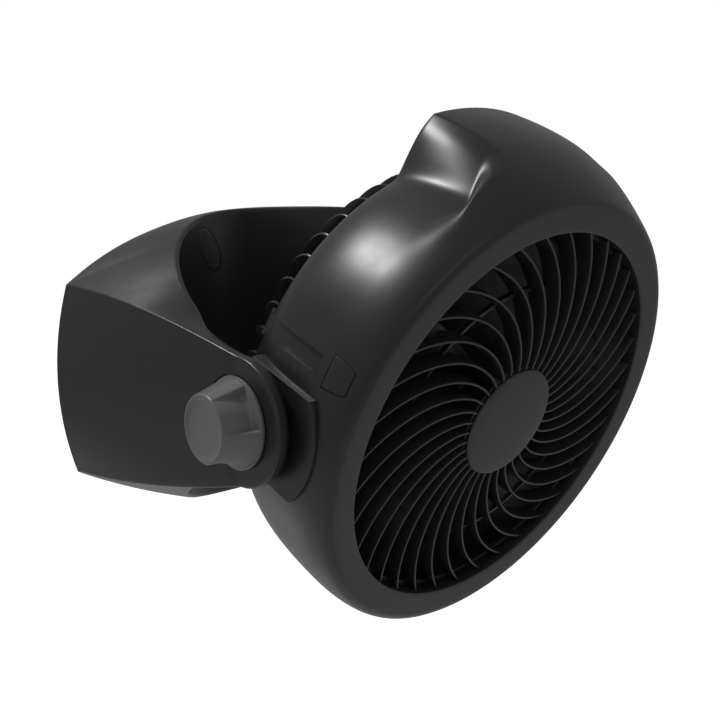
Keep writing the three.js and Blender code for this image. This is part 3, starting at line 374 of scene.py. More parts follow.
def moulded(name, low, high, rough, grain, depth, specular=0.5):
    """Injection-moulded plastic: a fine spark-eroded grain, faint flow clouds and handling wear."""
    material, tree = new_material(name)
    place = node(tree, "ShaderNodeTexCoord").outputs["Object"]
    # Flow clouds about 60 mm across give the colour its slight unevenness.
    cloud = noise(tree, place, 16.0, 3.0, 0.55)
    # Smudges about 25 mm across vary the gloss.
    smudge = noise(tree, place, 42.0, 4.0, 0.6)
    # The mould's grain, drawn at "grain" millimetres.
    pits = noise(tree, place, 1 / MM / grain, 2.0)
    shader = result(tree, "ShaderNodeBsdfPrincipled", {
        "Metallic": 0.0,
        "IOR": 1.5,
        "Specular IOR Level": specular,
        "Base Color": ramp(tree, cloud, (0.3, linear(low)), (0.7, linear(high))),
        "Roughness": ramp(tree, smudge, (0.25, grey(rough - 0.03)), (0.75, grey(rough + 0.04))),
        "Normal": result(tree, "ShaderNodeBump", {"Strength": 0.35, "Distance": depth * MM, "Height": pits}),
    })
    node(tree, "ShaderNodeOutputMaterial", {"Surface": shader})
    return material


def metal(name, low, high, rough, across, stretch=(1.0, 1.0, 1.0), relief=0.00002):
    """Bare or plated metal with a directional or cloudy surface, "across" millimetres wide."""
    material, tree = new_material(name)
    place = node(tree, "ShaderNodeTexCoord").outputs["Object"]
    place = result(tree, "ShaderNodeMapping", {"Scale": stretch, "Vector": place})
    marks = noise(tree, place, 1 / MM / across, 4.0)
    shader = result(tree, "ShaderNodeBsdfPrincipled", {
        "Metallic": 1.0,
        "Base Color": ramp(tree, marks, (0.3, linear(low)), (0.7, linear(high))),
        "Roughness": ramp(tree, marks, (0.3, grey(rough - 0.05)), (0.7, grey(rough + 0.08))),
        "Normal": result(tree, "ShaderNodeBump", {"Strength": 0.3, "Distance": relief, "Height": marks}),
    })
    node(tree, "ShaderNodeOutputMaterial", {"Surface": shader})
    return material


# Finishes by slot; brass and copper go on solids that stay as they are.
FINISH = {
    # ABS moulded in a spark-eroded tool: near black, a broad soft gloss.
    "body_plastic": moulded("black_moulded_abs", "#232020", "#282525", 0.31, 0.9, 0.02),
    # Glass-filled polypropylene, plainer and a little more matt than the housing.
    "inner_plastic": moulded("matt_black_polypropylene", "#171616", "#1c1b1b", 0.5, 1.2, 0.03),
    # The grey knobs, ABS with a satin texture.
    "knob_plastic": moulded("grey_moulded_abs", "#646464", "#6c6c6c", 0.38, 0.8, 0.02),
    # Blades in black AS resin, smooth from the tool.
    "blade_plastic": moulded("black_as_resin", "#151515", "#1b1a1a", 0.34, 2.0, 0.01),
    "rubber": moulded("black_epdm_rubber", "#141414", "#1c1c1c", 0.75, 1.5, 0.05, specular=0.35),
    "zinc_steel": metal("zinc_plated_steel", "#b9bcc0", "#cfd1d3", 0.28, 3.0),
    "stack_steel": metal("laminated_electrical_steel", "#6f7275", "#85888b", 0.45, 0.5, (0.05, 1.0, 0.35)),
    "cast_alloy": metal("die_cast_aluminium", "#a2a4a6", "#b5b7b9", 0.46, 1.5, relief=0.00006),
    "copper": metal("enamelled_copper_wire", "#9a5230", "#b9693f", 0.34, 0.9, (1.0, 0.2, 1.0), 0.00012),
    "brass": metal("machined_brass", "#b28f45", "#c8a658", 0.32, 1.2),
}


# ---------- base yoke

SIDE = PIVOT_TO_WALL - BACK_DEPTH - CORNER
TURN = CORNER * math.pi / 2
BACK = ARM_INNER - CORNER
PATH = SIDE + TURN + BACK
FOOT_FROM = SIDE + CORNER * math.radians(40)


def inner_wall(along):
    """The yoke's inner wall seen from above; it stands further out where the arm is thin."""
    tip = (ARM_TIP - ARM_INNER) * (1.0 - float(smoothstep(ARM_THIN, ARM_THIN + ARM_TAPER, along)))
    if along <= SIDE:
        return np.array([ARM_INNER + tip, along - PIVOT_TO_WALL])
    turn = min((along - SIDE) / CORNER, math.pi / 2)
    rest = max(along - SIDE - TURN, 0.0)
    x = BACK + CORNER * math.cos(turn) - rest + tip
    return np.array([x, -BACK_DEPTH - CORNER * (1 - math.sin(turn))])


# Height of the inner rim against the share of the wall's length, from the tilt axis to the middle.
RISE = np.array([
    [0.0, 35.0], [0.05, 36.6], [0.098, 39.8], [0.172, 46.4], [0.234, 54.4], [0.3, 63.7], [0.375, 75.0],
    [0.457, 85.6], [0.553, 96.2], [0.651, 103.2], [0.746, 106.4], [0.84, 107.0], [1.0, 107.0],
])


def softened(table):
    """A table of (place, value) resampled evenly and smoothed, with its ends kept."""
    places = np.linspace(table[0, 0], table[-1, 0], 201)
    values = np.interp(places, table[:, 0], table[:, 1])
    for _ in range(60):
        values[1:-1] = (values[:-2] + 2 * values[1:-1] + values[2:]) / 4
    return np.stack([places, values], axis=-1)


RIM_RISE = softened(RISE)


def lowered(height, start):
    """The yoke reaches less far down than up: a height above "start", as it is below the middle."""
    return start + np.maximum(height - start, 0.0) * (FOOT_LOW - start) / (FOOT_TOP - start)


def crease_at(t):
    """Upper edge of an arm's side face, as (y, z), from the tilt axis to the foot."""
    a, b, c = np.array([-PIVOT_TO_WALL, ARM_END]), np.array([-79.3, 56.2]), np.array([0.0, FOOT_CORNER])
    return bend(a, b, c, t)


def foot_at(t):
    """The foot's upper outline, as (x, z), from its corner to the middle."""
    return cubic([(FOOT_HALF, FOOT_CORNER), (137.1, 91.0), (89.7, FOOT_TOP), (0.0, FOOT_TOP)], t)


def flank(wall, edge, rim, top, outer_round, crown=1.5):
    """A section's upper face as (x, y, z), from the inner wall to the outer edge, eased at both."""
    out = edge - wall
    width = np.linalg.norm(out)
    out = out / width
    slope = (top - rim) / width
    line = []
    for turn in np.linspace(0, math.pi / 2, 7):
        far = INNER_ROUND * (1 - math.cos(turn))
        line.append((far, rim - INNER_ROUND * (1 - math.sin(turn)) + slope * far))
    crown *= min(1.0, width / 40.0)
    for t in np.linspace(0, 1, 12)[1:-1]:
        d = INNER_ROUND + (width - outer_round - INNER_ROUND) * t
        line.append((d, rim + slope * d + crown * 4 * t * (1 - t)))
    for turn in np.linspace(0, math.pi / 2, 5):
        back = outer_round * (1 - math.sin(turn))
        line.append((width - back, top - slope * back - outer_round * (1 - math.cos(turn))))
    return [(wall[0] + out[0] * d, wall[1] + out[1] * d, z) for d, z in line]


def closed_ring(upper, lower, bulge=0.0):
    """One ring of the yoke's skin: upper flank, outer side, lower flank, inner wall."""

    def wall(end, shares, swell):
        x, y, high = upper[end]
        low = -lower[end][2]
        return [(x + swell * (1 - t * t), y, high * t if t > 0 else -low * t) for t in shares[1:-1]]

    side = wall(-1, np.linspace(1, -1, 19), bulge)
    inner = wall(0, np.linspace(-1, 1, 15), 0.0)
    return upper + side + [(x, y, -z) for x, y, z in reversed(lower)] + inner


def yoke_ring(along):
    """A ring of the yoke's skin at a distance along its inner wall from the tilt axis."""
    wall = inner_wall(along)
    on_foot = along >= FOOT_FROM
    if on_foot:
        x, top = foot_at((along - FOOT_FROM) / (PATH - FOOT_FROM))
        edge, bulge = np.array([x, 0.0]), FOOT_BULGE if along == FOOT_FROM else 0.0
    else:
        y, top = crease_at(along / FOOT_FROM)
        back = 1.0 + y / PIVOT_TO_WALL
        edge = np.array([ARM_OUTER + (FOOT_HALF - ARM_OUTER) * back, y])
        bulge = FOOT_BULGE * back * back
    rim = float(np.interp(along / PATH, RIM_RISE[:, 0], RIM_RISE[:, 1]))
    low_top = float(lowered(top, FOOT_CORNER)) if top > FOOT_CORNER else top
    outer_round = FOOT_ROUND if on_foot else OUTER_ROUND
    upper = flank(wall, edge, rim, top, outer_round)
    lower = flank(wall, edge, float(lowered(rim, ARM_END)), low_top, outer_round)
    return closed_ring(upper, lower, bulge)


def yoke_end_ring(turn):
    """A ring on the arm's round end: "turn" runs from 0 at the tip to a right angle over the tilt axis."""
    tip, outer = np.array([ARM_TIP, 0.0]), np.array([ARM_OUTER, 0.0])
    level = flank(tip, outer, ARM_END, ARM_END, OUTER_ROUND, 0.0)
    upper = [(x, -PIVOT_TO_WALL - radius * math.cos(turn), radius * math.sin(turn)) for x, _, radius in level]
    return closed_ring(upper, upper)


def yoke_skin():
    stops = sorted({*np.linspace(0.0, PATH, 110), FOOT_FROM, FOOT_FROM + 0.01})
    half = [yoke_end_ring(t) for t in np.linspace(0.0, math.pi / 2, 18)[:-1]]
    half = np.array(half + [yoke_ring(along) for along in stops])
    other = half[:-1][::-1].copy()
    other[..., 0] *= -1.0
    return skin(np.concatenate([half, other]))


PLUG_TURN = math.radians(68)
PLUG_LEAN = math.radians(32)
PLUG_X = BACK + CORNER * math.cos(PLUG_TURN)
PLUG_Y = -BACK_DEPTH - CORNER * (1 - math.sin(PLUG_TURN))
PLUG_Z = 79.3


def plug_prism(side, grow, levels):
    """A leaning oval on the yoke's inner corner, from (height off its skin, inset) levels that follow it."""
    angles = np.arange(72) * 2 * math.pi / 72
    normal = np.array([-math.cos(PLUG_TURN), -math.sin(PLUG_TURN)])
    across = np.array([math.sin(PLUG_TURN), -math.cos(PLUG_TURN)])
    rings = []
    for level, inset in levels:
        u = (PLUG_HALF_WIDE + grow - inset) * np.cos(angles)
        v = (PLUG_HALF_HIGH + grow - inset) * np.sin(angles)
        flat = u * math.cos(PLUG_LEAN) + v * math.sin(PLUG_LEAN)
        up = v * math.cos(PLUG_LEAN) - u * math.sin(PLUG_LEAN)
        off = level + CORNER - np.sqrt(CORNER**2 - flat**2)
        x = PLUG_X + across[0] * flat + normal[0] * off
        y = PLUG_Y + across[1] * flat + normal[1] * off
        rings.append(np.stack([side * x, y, PLUG_Z + up], axis=-1))
    return skin(rings)


def plate_outline(inset):
    """The foot's whole outline, moved inwards."""
    quarter = [foot_at(t) for t in np.linspace(0, 1, 30)]
    quarter = [(x - inset, z) for x, z in quarter[:-1]] + [(0.0, FOOT_TOP)]
    top = [(x, z - inset) for x, z in quarter] + [(-x, z - inset) for x, z in reversed(quarter[:-1])]
    low = [(x, inset - float(lowered(z, FOOT_CORNER))) for x, z in quarter]
    bottom = [(-x, z) for x, z in low] + list(reversed(low[:-1]))
    side = [
        (FOOT_HALF - inset + FOOT_BULGE * (1 - t * t), (FOOT_CORNER - inset) * t)
        for t in np.linspace(-1, 1, 24)[1:-1]
    ]
    return side + top + [(-x, -z) for x, z in side] + bottom


def round_tilt_axis(side, line, turn):
    """Rings about the tilt axis, from (distance from the middle, radius) and angles forward of the top."""
    rings = []
    for x, radius in line:
        columns = np.broadcast_arrays(side * x, -PIVOT_TO_WALL - radius * np.sin(turn), radius * np.cos(turn))
        rings.append(np.stack(columns, axis=-1))
    return rings


def make_base():
    shell = mesh_piece("base_body", *yoke_skin(), angle=40.0)
    tools = [block(plate_outline(3.6), -2.9, 5.0, "y")]
    tilt_axis = (-PIVOT_TO_WALL, 0.0)
    for side, _ in SIDES:
        tools.append(plug_prism(side, 0.0, [(-1.6, 0.0), (6.0, 0.0)]))
        tools.append(round_tool(STUD_HOLE, (side * (ARM_TIP - 6), side * (ARM_OUTER + 6)), tilt_axis, "x"))
        seat = (side * ARM_OUTER, side * (ARM_OUTER + 12))
        tools.append(round_tool(KNOB_FLANGE + 1.0, seat, tilt_axis, "x", 96))
    carve(shell, tools, angle=40.0)
    dress(shell, "base", ["base_shell"], "body_plastic")
    levels = [(-1.3, 0.0), (-0.45, 0.0), (-0.15, 0.1), (0.0, 0.4), (0.02, 2.0), (0.02, 5.0), (0.02, 8.0)]
    outline = eased([(144.9, 4.3), (144.9, 22.75), (148.7, 22.75), (148.7, 4.3)], 0.8)
    around = np.radians(np.arange(-90, 270, 5))
    for side, word in SIDES:
        plug = mesh_piece(f"oval_plug_{word}", *plug_prism(side, -0.3, levels))
        dress(plug, "base", [f"screw_plug_{word}"], "body_plastic")
        rings = round_tilt_axis(side, outline, around)
        washer = mesh_piece(f"washer_{word}", *skin(rings, loop=True))
        dress(washer, "base", [f"friction_washer_{word}"], "rubber")


# ---------- lock knobs


def knob_skin(side):
    """A lobed knob: three lobes flare from the cap to a thin flange, with a flute between each two."""
    half = FLUTE_SPAN / 2
    near = [-2.4, -1.5, -0.8, -0.3, 0.3, 0.8, 1.5, 2.4]
    offsets = [-half + n for n in near] + [half + n for n in near]
    offsets += [*np.linspace(-half + 5, half - 5, 9), *np.linspace(half + 5, 120 - half - 5, 11)]
    angles = np.array([FLUTE_CENTRE + 120 * i + o for i in range(3) for o in sorted(offsets)])
    off = np.abs((angles - FLUTE_CENTRE + 60) % 120 - 60)
    lobe = smoothstep(half - 1.9, half + 1.9, off)
    flange = [(0.0, 0.6), (0.2, 0.15), (0.6, 0.0), (1.5, 0.0), (1.95, 0.15), (2.2, 0.6)]
    dish = [(0.45, 0.12), (0.15, 0.42), (0.0, 0.95), (0.05, 1.5), (0.35, 2.3), (0.8, 3.0), (1.1, 5.0)]
    line = [(KNOB_TO - 7.3, 0.01), (KNOB_TO - 7.3, STUD_HOLE), (KNOB_FROM, STUD_HOLE)]
    line += [(KNOB_FROM + out, KNOB_FLANGE - inset) for out, inset in flange]
    span = KNOB_TO - KNOB_FROM - 2.2
    for t in (0.0, 0.02, 0.06, 0.14, 0.26, 0.4, 0.55, 0.7, 0.82, 0.91, 0.96):
        flare = (1 - t) ** 1.12
        lobe_radius = KNOB_CAP + (KNOB_FLANGE - 0.9 - KNOB_CAP) * flare
        foot = 1.1 * max(0.0, 1 - t / 0.08) ** 2
        core = KNOB_CAP - 0.1 + 0.5 * flare + foot
        line.append((KNOB_FROM + 2.2 + span * t, core + (lobe_radius - core) * lobe))
    line += [(KNOB_TO - back, KNOB_CAP - inset) for back, inset in dish]
    line += [(KNOB_TO - 1.35, KNOB_CAP * 0.4), (KNOB_TO - 1.4, 0.01)]
    return skin(round_tilt_axis(side, line, np.radians(angles)), caps=False)


def make_knobs():
    for side, word in SIDES:
        knob = mesh_piece(f"hand_knob_{word}", *knob_skin(side), angle=38.0)
        dress(knob, f"lock_knob_{word}", [f"lock_knob_{word}"], "knob_plastic")


# ---------- head housing

SHOULDER = bezier([(CREASE_AHEAD, CREASE), (57.3, 141.5), (45.0, DRUM), (WIDEST_AHEAD, DRUM)], 200)
FLANK = bezier([(WIDEST_AHEAD, DRUM), (8.0, DRUM), (RIM_AHEAD + 11, RIM + 7), (RIM_AHEAD, RIM)], 200)
DRUM_LINE = np.concatenate([FLANK[::-1], SHOULDER[::-1][1:]])
HOOD_LINE = bezier([
    (RIM_AHEAD, HOOD), (RIM_AHEAD + 35, HOOD - 0.3), (CREASE_AHEAD - 19, HOOD - 7),
    (CREASE_AHEAD, CREASE + 0.7),
], 300)


def drum_radius(ahead):
    return np.interp(ahead, DRUM_LINE[:, 0], DRUM_LINE[:, 1])


def hood_radius(ahead):
    return np.interp(ahead, HOOD_LINE[:, 0], HOOD_LINE[:, 1])


# The scoop's flank: rounded over at the crown, steepest in its middle, filleted into the drum.
SLOPE_AT = np.linspace(0.0, 1.0, 201)
SLOPE = np.interp(SLOPE_AT, [0.0, 0.15, 0.35, 0.6, 0.72, 0.86, 1.0], [0.85, 0.95, 1.4, 1.45, 1.2, 0.35, 0.0])
FALLEN = (np.cumsum(SLOPE) - SLOPE[0]) / (np.sum(SLOPE) - SLOPE[0])


def hood_share(ahead, angle):
    """How much of the hood stands at an angle from the top: 1 on the crown, 0 on the drum."""
    off = np.abs(angle)
    down = np.clip((off - HOOD_HALF_ANGLE) / SCOOP_ANGLE, 0.0, 1.0)
    scooped = 1.0 - np.interp(down, SLOPE_AT, FALLEN)
    full = 1.0 - smoothstep(17.0, 45.0, off)
    # The scoop ends sharply low down and softly near the crown and beyond its foot.
    end = 37.0 - 11.0 * (1.0 - down)
    fade = 4.0 + 14.0 * (1.0 - down) + 14.0 * smoothstep(27.0, 35.0, off)
    front = smoothstep(end - fade / 2, end + fade / 2, ahead)
    return scooped + (full - scooped) * front


def housing_radius(ahead, angle):
    drum = drum_radius(ahead)
    return drum + (hood_radius(ahead) - drum) * hood_share(ahead, angle)


def housing_skin():
    near = np.concatenate([np.linspace(0, 13, 14), np.linspace(14, 17, 9), np.linspace(17.5, 46, 52)])
    angles = np.concatenate([near, np.linspace(47, 313, 250), 360 - near[:0:-1]])
    signed = np.where(angles > 180, angles - 360, angles)
    crease_from = 56.6
    stops = [np.linspace(RIM_AHEAD + 3, 14, 20), np.linspace(16, 48, 52), np.linspace(49, crease_from, 12)]
    edge = housing_radius(RIM_AHEAD, signed)
    line = [(RIM - WALL - 0.2, RIM_AHEAD + 0.3), (RIM - WALL + 0.1, RIM_AHEAD), (edge - 0.9, RIM_AHEAD)]
    line.append((edge - 0.3, RIM_AHEAD + 0.25))
    line += [(housing_radius(ahead, signed), ahead) for ahead in (RIM_AHEAD + 0.9, *np.concatenate(stops))]
    # The crease between the shoulder and the front ring, eased.
    start = housing_radius(crease_from, signed)
    tip = housing_radius(CREASE_AHEAD, signed)
    for t in (0.25, 0.5, 0.75, 1.0):
        line.append((bend(start, tip + 0.1, tip - 2.6, t), bend(crease_from, 58.9, 58.62, t)))
    # The front ring, its lip and the seat behind it.
    line += [
        (130.0, 58.25), (124.0, 57.75), (121.2, 57.5), (120.5, 57.35), (120.15, 57.05), (OPENING, 56.6),
        (OPENING, 49.4), (120.3, 49.0), (122.7, 49.0), (123.0, 49.3), (123.0, 54.3), (123.3, 54.6),
        (128.0, 54.6), (131.0, 53.4), (134.5, 52.2),
    ]
    line += [(drum_radius(ahead) - WALL, ahead) for ahead in np.linspace(50, -24, 24)]
    return skin([head_point(radius, angles, ahead) for radius, ahead in line], loop=True)


def grip_tool():
    """The finger recess under the hood, open to the rear."""
    angles = np.linspace(-12.5, 12.5, 15)
    mouth = [(RIM_AHEAD - 2, -0.8), (RIM_AHEAD + 0.6, 0.0)]
    rings = []
    for ahead, inset in mouth + [(-12, 0.0), (0, 0.0), (10, 0.2), (16, 1.2), (19.4, 3.2), (20.8, 6.5)]:
        turn = 1 - inset * 0.03
        over = head_point(hood_radius(ahead) - WALL - inset, angles * turn, ahead)
        under = head_point(drum_radius(ahead) + inset, angles[::-1] * turn, ahead)
        rings.append(np.concatenate([over, under]))
    return skin(rings)


def boss_outline():
    """A side boss as (y, z) in the head: round in front, level above and below, cut off behind."""
    start = math.asin(BOSS_TOP / BOSS_RADIUS)
    arc = [(-BOSS_RADIUS * math.cos(a), BOSS_RADIUS * math.sin(a)) for a in np.linspace(start, -start, 60)]
    return [(BOSS_REAR, BOSS_TOP)] + arc + [(BOSS_REAR, -BOSS_TOP)]


def shrunk(outline, inset):
    """A closed outline moved inwards along its corners' bisectors."""
    outline = np.asarray(outline, float)
    before = outline - np.roll(outline, 1, axis=0)
    after = np.roll(outline, -1, axis=0) - outline
    normals = []
    for edge in (before, after):
        square = np.stack([-edge[:, 1], edge[:, 0]], axis=-1)
        normals.append(square / np.linalg.norm(edge, axis=1)[:, None])
    bisector = normals[0] + normals[1]
    bisector /= (bisector * normals[0]).sum(axis=1)[:, None]
    area = np.sum(outline[:, 0] * np.roll(outline[:, 1], -1) - np.roll(outline[:, 0], -1) * outline[:, 1])
    return outline + bisector * inset * (1 if area > 0 else -1)


def side_boss(side):
    """The raised pad at the tilt axis, its outer edge eased."""
    levels = ((BOSS_BACK, 0.0), (BOSS - 0.8, 0.0), (BOSS - 0.3, 0.13), (BOSS - 0.08, 0.38), (BOSS, 0.8))
    return skin([np.insert(shrunk(boss_outline(), inset), 0, side * x, axis=1) for x, inset in levels])


def channel_block(side, width, low, high):
    """A bar along the drum behind a clip, between two heights given as functions of the distance ahead."""
    turn = math.radians(side * CLIP_ANGLE)
    c, s = math.cos(turn), math.sin(turn)
    half = width / 2
    rings = []
    for ahead in np.concatenate([np.linspace(RIM_AHEAD - 3, 22, 25), np.linspace(23.3, 29.3, 7)]):
        corners = [(-half, low(ahead)), (half, low(ahead)), (half, high(ahead)), (-half, high(ahead))]
        rings.append([(up * s + across * c, -ahead, up * c - across * s) for across, up in corners])
    return skin(rings)


def channel_floor(ahead):
    depth = np.interp(ahead, [RIM_AHEAD - 3, RIM_AHEAD + 12, 5.0, 23.3, 29.3], [1.2, 3.4, 4.0, 4.0, -0.4])
    return float(drum_radius(ahead) - depth)


CLIP_SIDE = np.array([[35.0, 9.2], [40.0, 8.8], [45.0, 8.1], [48.5, 7.2], [51.0, 6.2]])


def clip_outline(grow, front=0.0, rear=0.0):
    """The clip's tongue as (across, y): it narrows towards its front edge, whose corners are eased."""
    stops = np.linspace(35.0, 51.0, 14)
    half = np.interp(stops, CLIP_SIDE[:, 0], CLIP_SIDE[:, 1]) + grow
    stops[0] -= rear
    stops[-1] += front
    sides = [(x, -stop, 0.0) for x, stop in zip(half[:-1], stops[:-1])]
    x, y = half[-1], -stops[-1]
    return eased(sides + [(x, y), (-x, y)] + [(-x, y, 0.0) for x, y, _ in reversed(sides)], 0.5, 3)


def drum_prism(side, outline, levels):
    """A prism wrapped on the drum at the clip, from levels of (height, inset, follows the drum's skin)."""
    outline = np.array(outline)
    turn = math.radians(side * CLIP_ANGLE)
    middle = outline.mean(axis=0)
    reach = np.abs(outline - middle).max(axis=0)
    rings = []
    for height, inset, follows in levels:
        shape = middle + (outline - middle) * (1 - inset / reach)
        radius = drum_radius(-shape[:, 1]) + height if follows else np.full(len(shape), height)
        around = turn + np.arcsin(np.clip(side * shape[:, 0] / radius, -1, 1))
        rings.append(np.stack([radius * np.sin(around), shape[:, 1], radius * np.cos(around)], axis=-1))
    return skin(rings)


def clip_cap(side):
    """The clip's outer face follows the drum, and no gap shows behind it."""
    levels = [(DRUM - 5.3, 0.0, False), (-0.4, 0.0, True), (-0.1, 0.12, True), (0.02, 0.4, True)]
    levels += [(0.02, inset, True) for inset in (2.0, 4.0, 6.0, 7.6)]
    return drum_prism(side, clip_outline(-0.3, -0.7, -0.02), levels)


def make_housing():
    shell = mesh_piece("head_shell", *housing_skin(), angle=30.0)
    for side, _ in SIDES:
        floor = channel_block(
            side, CHANNEL + 5,
            lambda a: max(channel_floor(a) - 2.4, RIM - WALL - 0.3),
            lambda a: drum_radius(a) - 1.0,
        )
        seat = drum_prism(side, clip_outline(2.0, 2.0, 2.0), [(DRUM - 8.6, 0.0, False), (-1.0, 0.0, True)])
        carve(shell, [side_boss(side), floor, seat], "UNION", 30.0)
    tools = [grip_tool()]
    for side, _ in SIDES:
        tools.append(channel_block(side, CHANNEL, channel_floor, lambda a: DRUM + 12))
        tools.append(drum_prism(side, clip_outline(0.0), [(DRUM - 5.6, 0.0, False), (DRUM + 6, 0.0, False)]))
        tools.append(round_tool(STUD_HOLE, (side * (BOSS - 20), side * (BOSS + 9)), (0.0, 0.0), "x"))
    carve(shell, tools, angle=30.0)
    place_in_head(shell)
    dress(shell, "head", ["housing_shell"], "body_plastic")
    for side, word in SIDES:
        clip = mesh_piece(f"side_clip_{word}", *clip_cap(side), angle=40.0)
        place_in_head(clip)
        dress(clip, "head", [f"grille_clip_{word}"], "body_plastic")


def place_in_head(piece):
    """Moves a mesh made in head coordinates to where the head rests."""
    flat = np.empty(len(piece.data.vertices) * 3)
    piece.data.vertices.foreach_get("co", flat)
    piece.data.vertices.foreach_set("co", (from_head(flat.reshape(-1, 3) / MM) * MM).ravel())
    piece.data.update()


# ---------- repeats


def grow_tree(name, sockets):
    """A geometry tree with inputs from (name, kind) or (name, kind, default), and one output of geometry."""
    tree = bpy.data.node_groups.new(name, "GeometryNodeTree")
    for label, kind, *default in sockets:
        made = tree.interface.new_socket(name=label, in_out="INPUT", socket_type="NodeSocket" + kind)
        if default:
            made.default_value = default[0]
    tree.interface.new_socket(name="Made", in_out="OUTPUT", socket_type="NodeSocketGeometry")
    return tree, node(tree, "NodeGroupInput").outputs


def copied(tree, given, points, shape, rotation):
    """Ends a tree: copies of a shape at points, made real and given their finish."""
    inputs = {"Points": points, "Instance": shape, "Rotation": rotation}
    copies = result(tree, "GeometryNodeInstanceOnPoints", inputs)
    real = result(tree, "GeometryNodeRealizeInstances", {0: copies})
    coated = result(tree, "GeometryNodeSetMaterial", {"Geometry": real, "Material": given["Finish"]})
    node(tree, "NodeGroupOutput", {0: coated})
    return tree


def round_repeat_tree():
    """Copies the incoming rib round the fan's axis and gives the whole its finish."""
    sockets = [("Rib", "Geometry"), ("Copies", "Int", RIBS), ("Finish", "Material")]
    tree, given = grow_tree("repeat_round_axis", sockets)
    inputs = {"Offset": (0.0, 0.0, 0.0), "Count": given["Copies"]}
    places = result(tree, "GeometryNodeMeshLine", inputs, mode="OFFSET")
    share = maths(tree, "DIVIDE", result(tree, "GeometryNodeInputIndex"), given["Copies"])
    turn = maths(tree, "MULTIPLY", share, 2 * math.pi)
    return copied(tree, given, places, given["Rib"], result(tree, "ShaderNodeCombineXYZ", {"Y": turn}))


def screw_tree():
    """A pan-head screw at each point, its shank along the given direction, with a cross recess."""
    tree, given = grow_tree("pan_head_screws", [
        ("Places", "Geometry"), ("Head radius", "Float", 0.0034), ("Head height", "Float", 0.0018),
        ("Shank radius", "Float", 0.0015), ("Length", "Float", 0.01), ("Direction", "Vector"),
        ("Finish", "Material"),
    ])
    radius, height = given["Head radius"], given["Head height"]
    small = maths(tree, "MULTIPLY", radius, 0.74)
    pan = {"Vertices": 28, "Radius Top": radius, "Radius Bottom": small, "Depth": height}
    head = result(tree, "GeometryNodeMeshCone", pan)
    long, wide = maths(tree, "MULTIPLY", radius, 1.1), maths(tree, "MULTIPLY", radius, 0.26)
    deep = maths(tree, "MULTIPLY", height, 1.2)
    cross = node(tree, "GeometryNodeMeshBoolean", operation="UNION", solver="EXACT")
    for x, y in ((long, wide), (wide, long)):
        size = result(tree, "ShaderNodeCombineXYZ", {"X": x, "Y": y, "Z": deep})
        tree.links.new(result(tree, "GeometryNodeMeshCube", {"Size": size}), cross.inputs["Mesh 2"])
    sunk = (0.0, 0.0, -0.0004)
    tool = result(tree, "GeometryNodeTransform", {"Translation": sunk, "Geometry": cross.outputs["Mesh"]})
    pair = {"Mesh 1": head, "Mesh 2": tool}
    driven = result(tree, "GeometryNodeMeshBoolean", pair, operation="DIFFERENCE", solver="EXACT")
    pin = {"Vertices": 20, "Radius": given["Shank radius"], "Depth": given["Length"]}
    shank = result(tree, "GeometryNodeMeshCylinder", pin)
    half = maths(tree, "MULTIPLY_ADD", given["Length"], 0.5, 0.0008)
    reach = result(tree, "ShaderNodeCombineXYZ", {"Z": half})
    moved = result(tree, "GeometryNodeTransform", {"Geometry": shank, "Translation": reach})
    whole = node(tree, "GeometryNodeJoinGeometry")
    tree.links.new(driven, whole.inputs[0])
    tree.links.new(moved, whole.inputs[0])
    turn = result(tree, "FunctionNodeAlignRotationToVector", {"Vector": given["Direction"]}, axis="Z")
    return copied(tree, given, given["Places"], whole.outputs[0], turn)


def grown(piece, tree, values):
    """Runs a node tree on a piece and keeps the result as its plain mesh."""
    step = piece.modifiers.new("grow", "NODES")
    step.node_group = tree
    for item in tree.interface.items_tree:
        if item.in_out == "INPUT" and item.name in values:
            step[item.identifier] = values[item.name]
    frozen(piece, step)
    shade(piece.data, 32.0)
    return piece


def make_screws():
    tree = screw_tree()
    forward = tuple(from_head((0.0, -1.0, 0.0)) - from_head((0.0, 0.0, 0.0)))
    sunk = 0.9

    def screws(name, body, stem, places, values):
        made = grown(points_piece(name, places), tree, {**values, "Finish": FINISH["zinc_steel"]})
        dress(made, body, [f"{stem}_{i + 1}" for i in range(len(places))], "zinc_steel")

    for name, stem, angles, radius, seat, length in (
        ("grille_screw_set", "grille_screw", (45, 135, 225, 315), 128.5, 45.4, 9.0),
        ("rear_screw_set", "rear_screw", (40, 140, 220, 320), 126.0, -22.3, 15.0),
        ("motor_screw_set", "motor_screw", MOTOR_SCREW_ANGLES, MOTOR_SCREW_RADIUS, CUP_REAR - 0.3, 21.0),
    ):
        places = from_head(head_point(radius, np.array(angles, float), seat - sunk))
        screws(name, "head", stem, places, {"Length": length * MM, "Direction": forward})
    places = [(x, -0.95, z) for x, z in PLATE_SCREWS]
    values = {"Length": 0.0148, "Direction": (0.0, -1.0, 0.0), "Head height": 0.0016}
    screws("plate_screw_set", "base", "plate_screw", places, values)


# ---------- grilles


def bar(path, into, widths, depth, nose):
    """A rib along a path: a rounded outer edge, flat sides that thicken inwards, a square inner edge."""
    path, into = np.asarray(path), np.asarray(into)
    along = np.gradient(path, axis=0)
    along /= np.linalg.norm(along, axis=1)[:, None]
    side = np.cross(along, into)
    side /= np.linalg.norm(side, axis=1)[:, None]
    outer, inner = widths
    shape = [(0.0, 0.0), (outer * 0.32, nose * 0.12), (outer * 0.5, nose)]
    shape += [(inner * 0.5, depth - 0.4), (inner * 0.5 - 0.3, depth)]
    section = shape + [(-u, d) for u, d in reversed(shape[1:])]
    rings = [[p + s * u + i * d for u, d in section] for p, s, i in zip(path, side, into)]
    return skin(rings)


def rib_turn(radius):
    """The spiral: how far round a front rib stands at a radius."""
    share = np.maximum(radius - RIB_STRAIGHT, 0.0) / (OPENING - RIB_STRAIGHT)
    return -RIB_TWIST * share**RIB_BEND


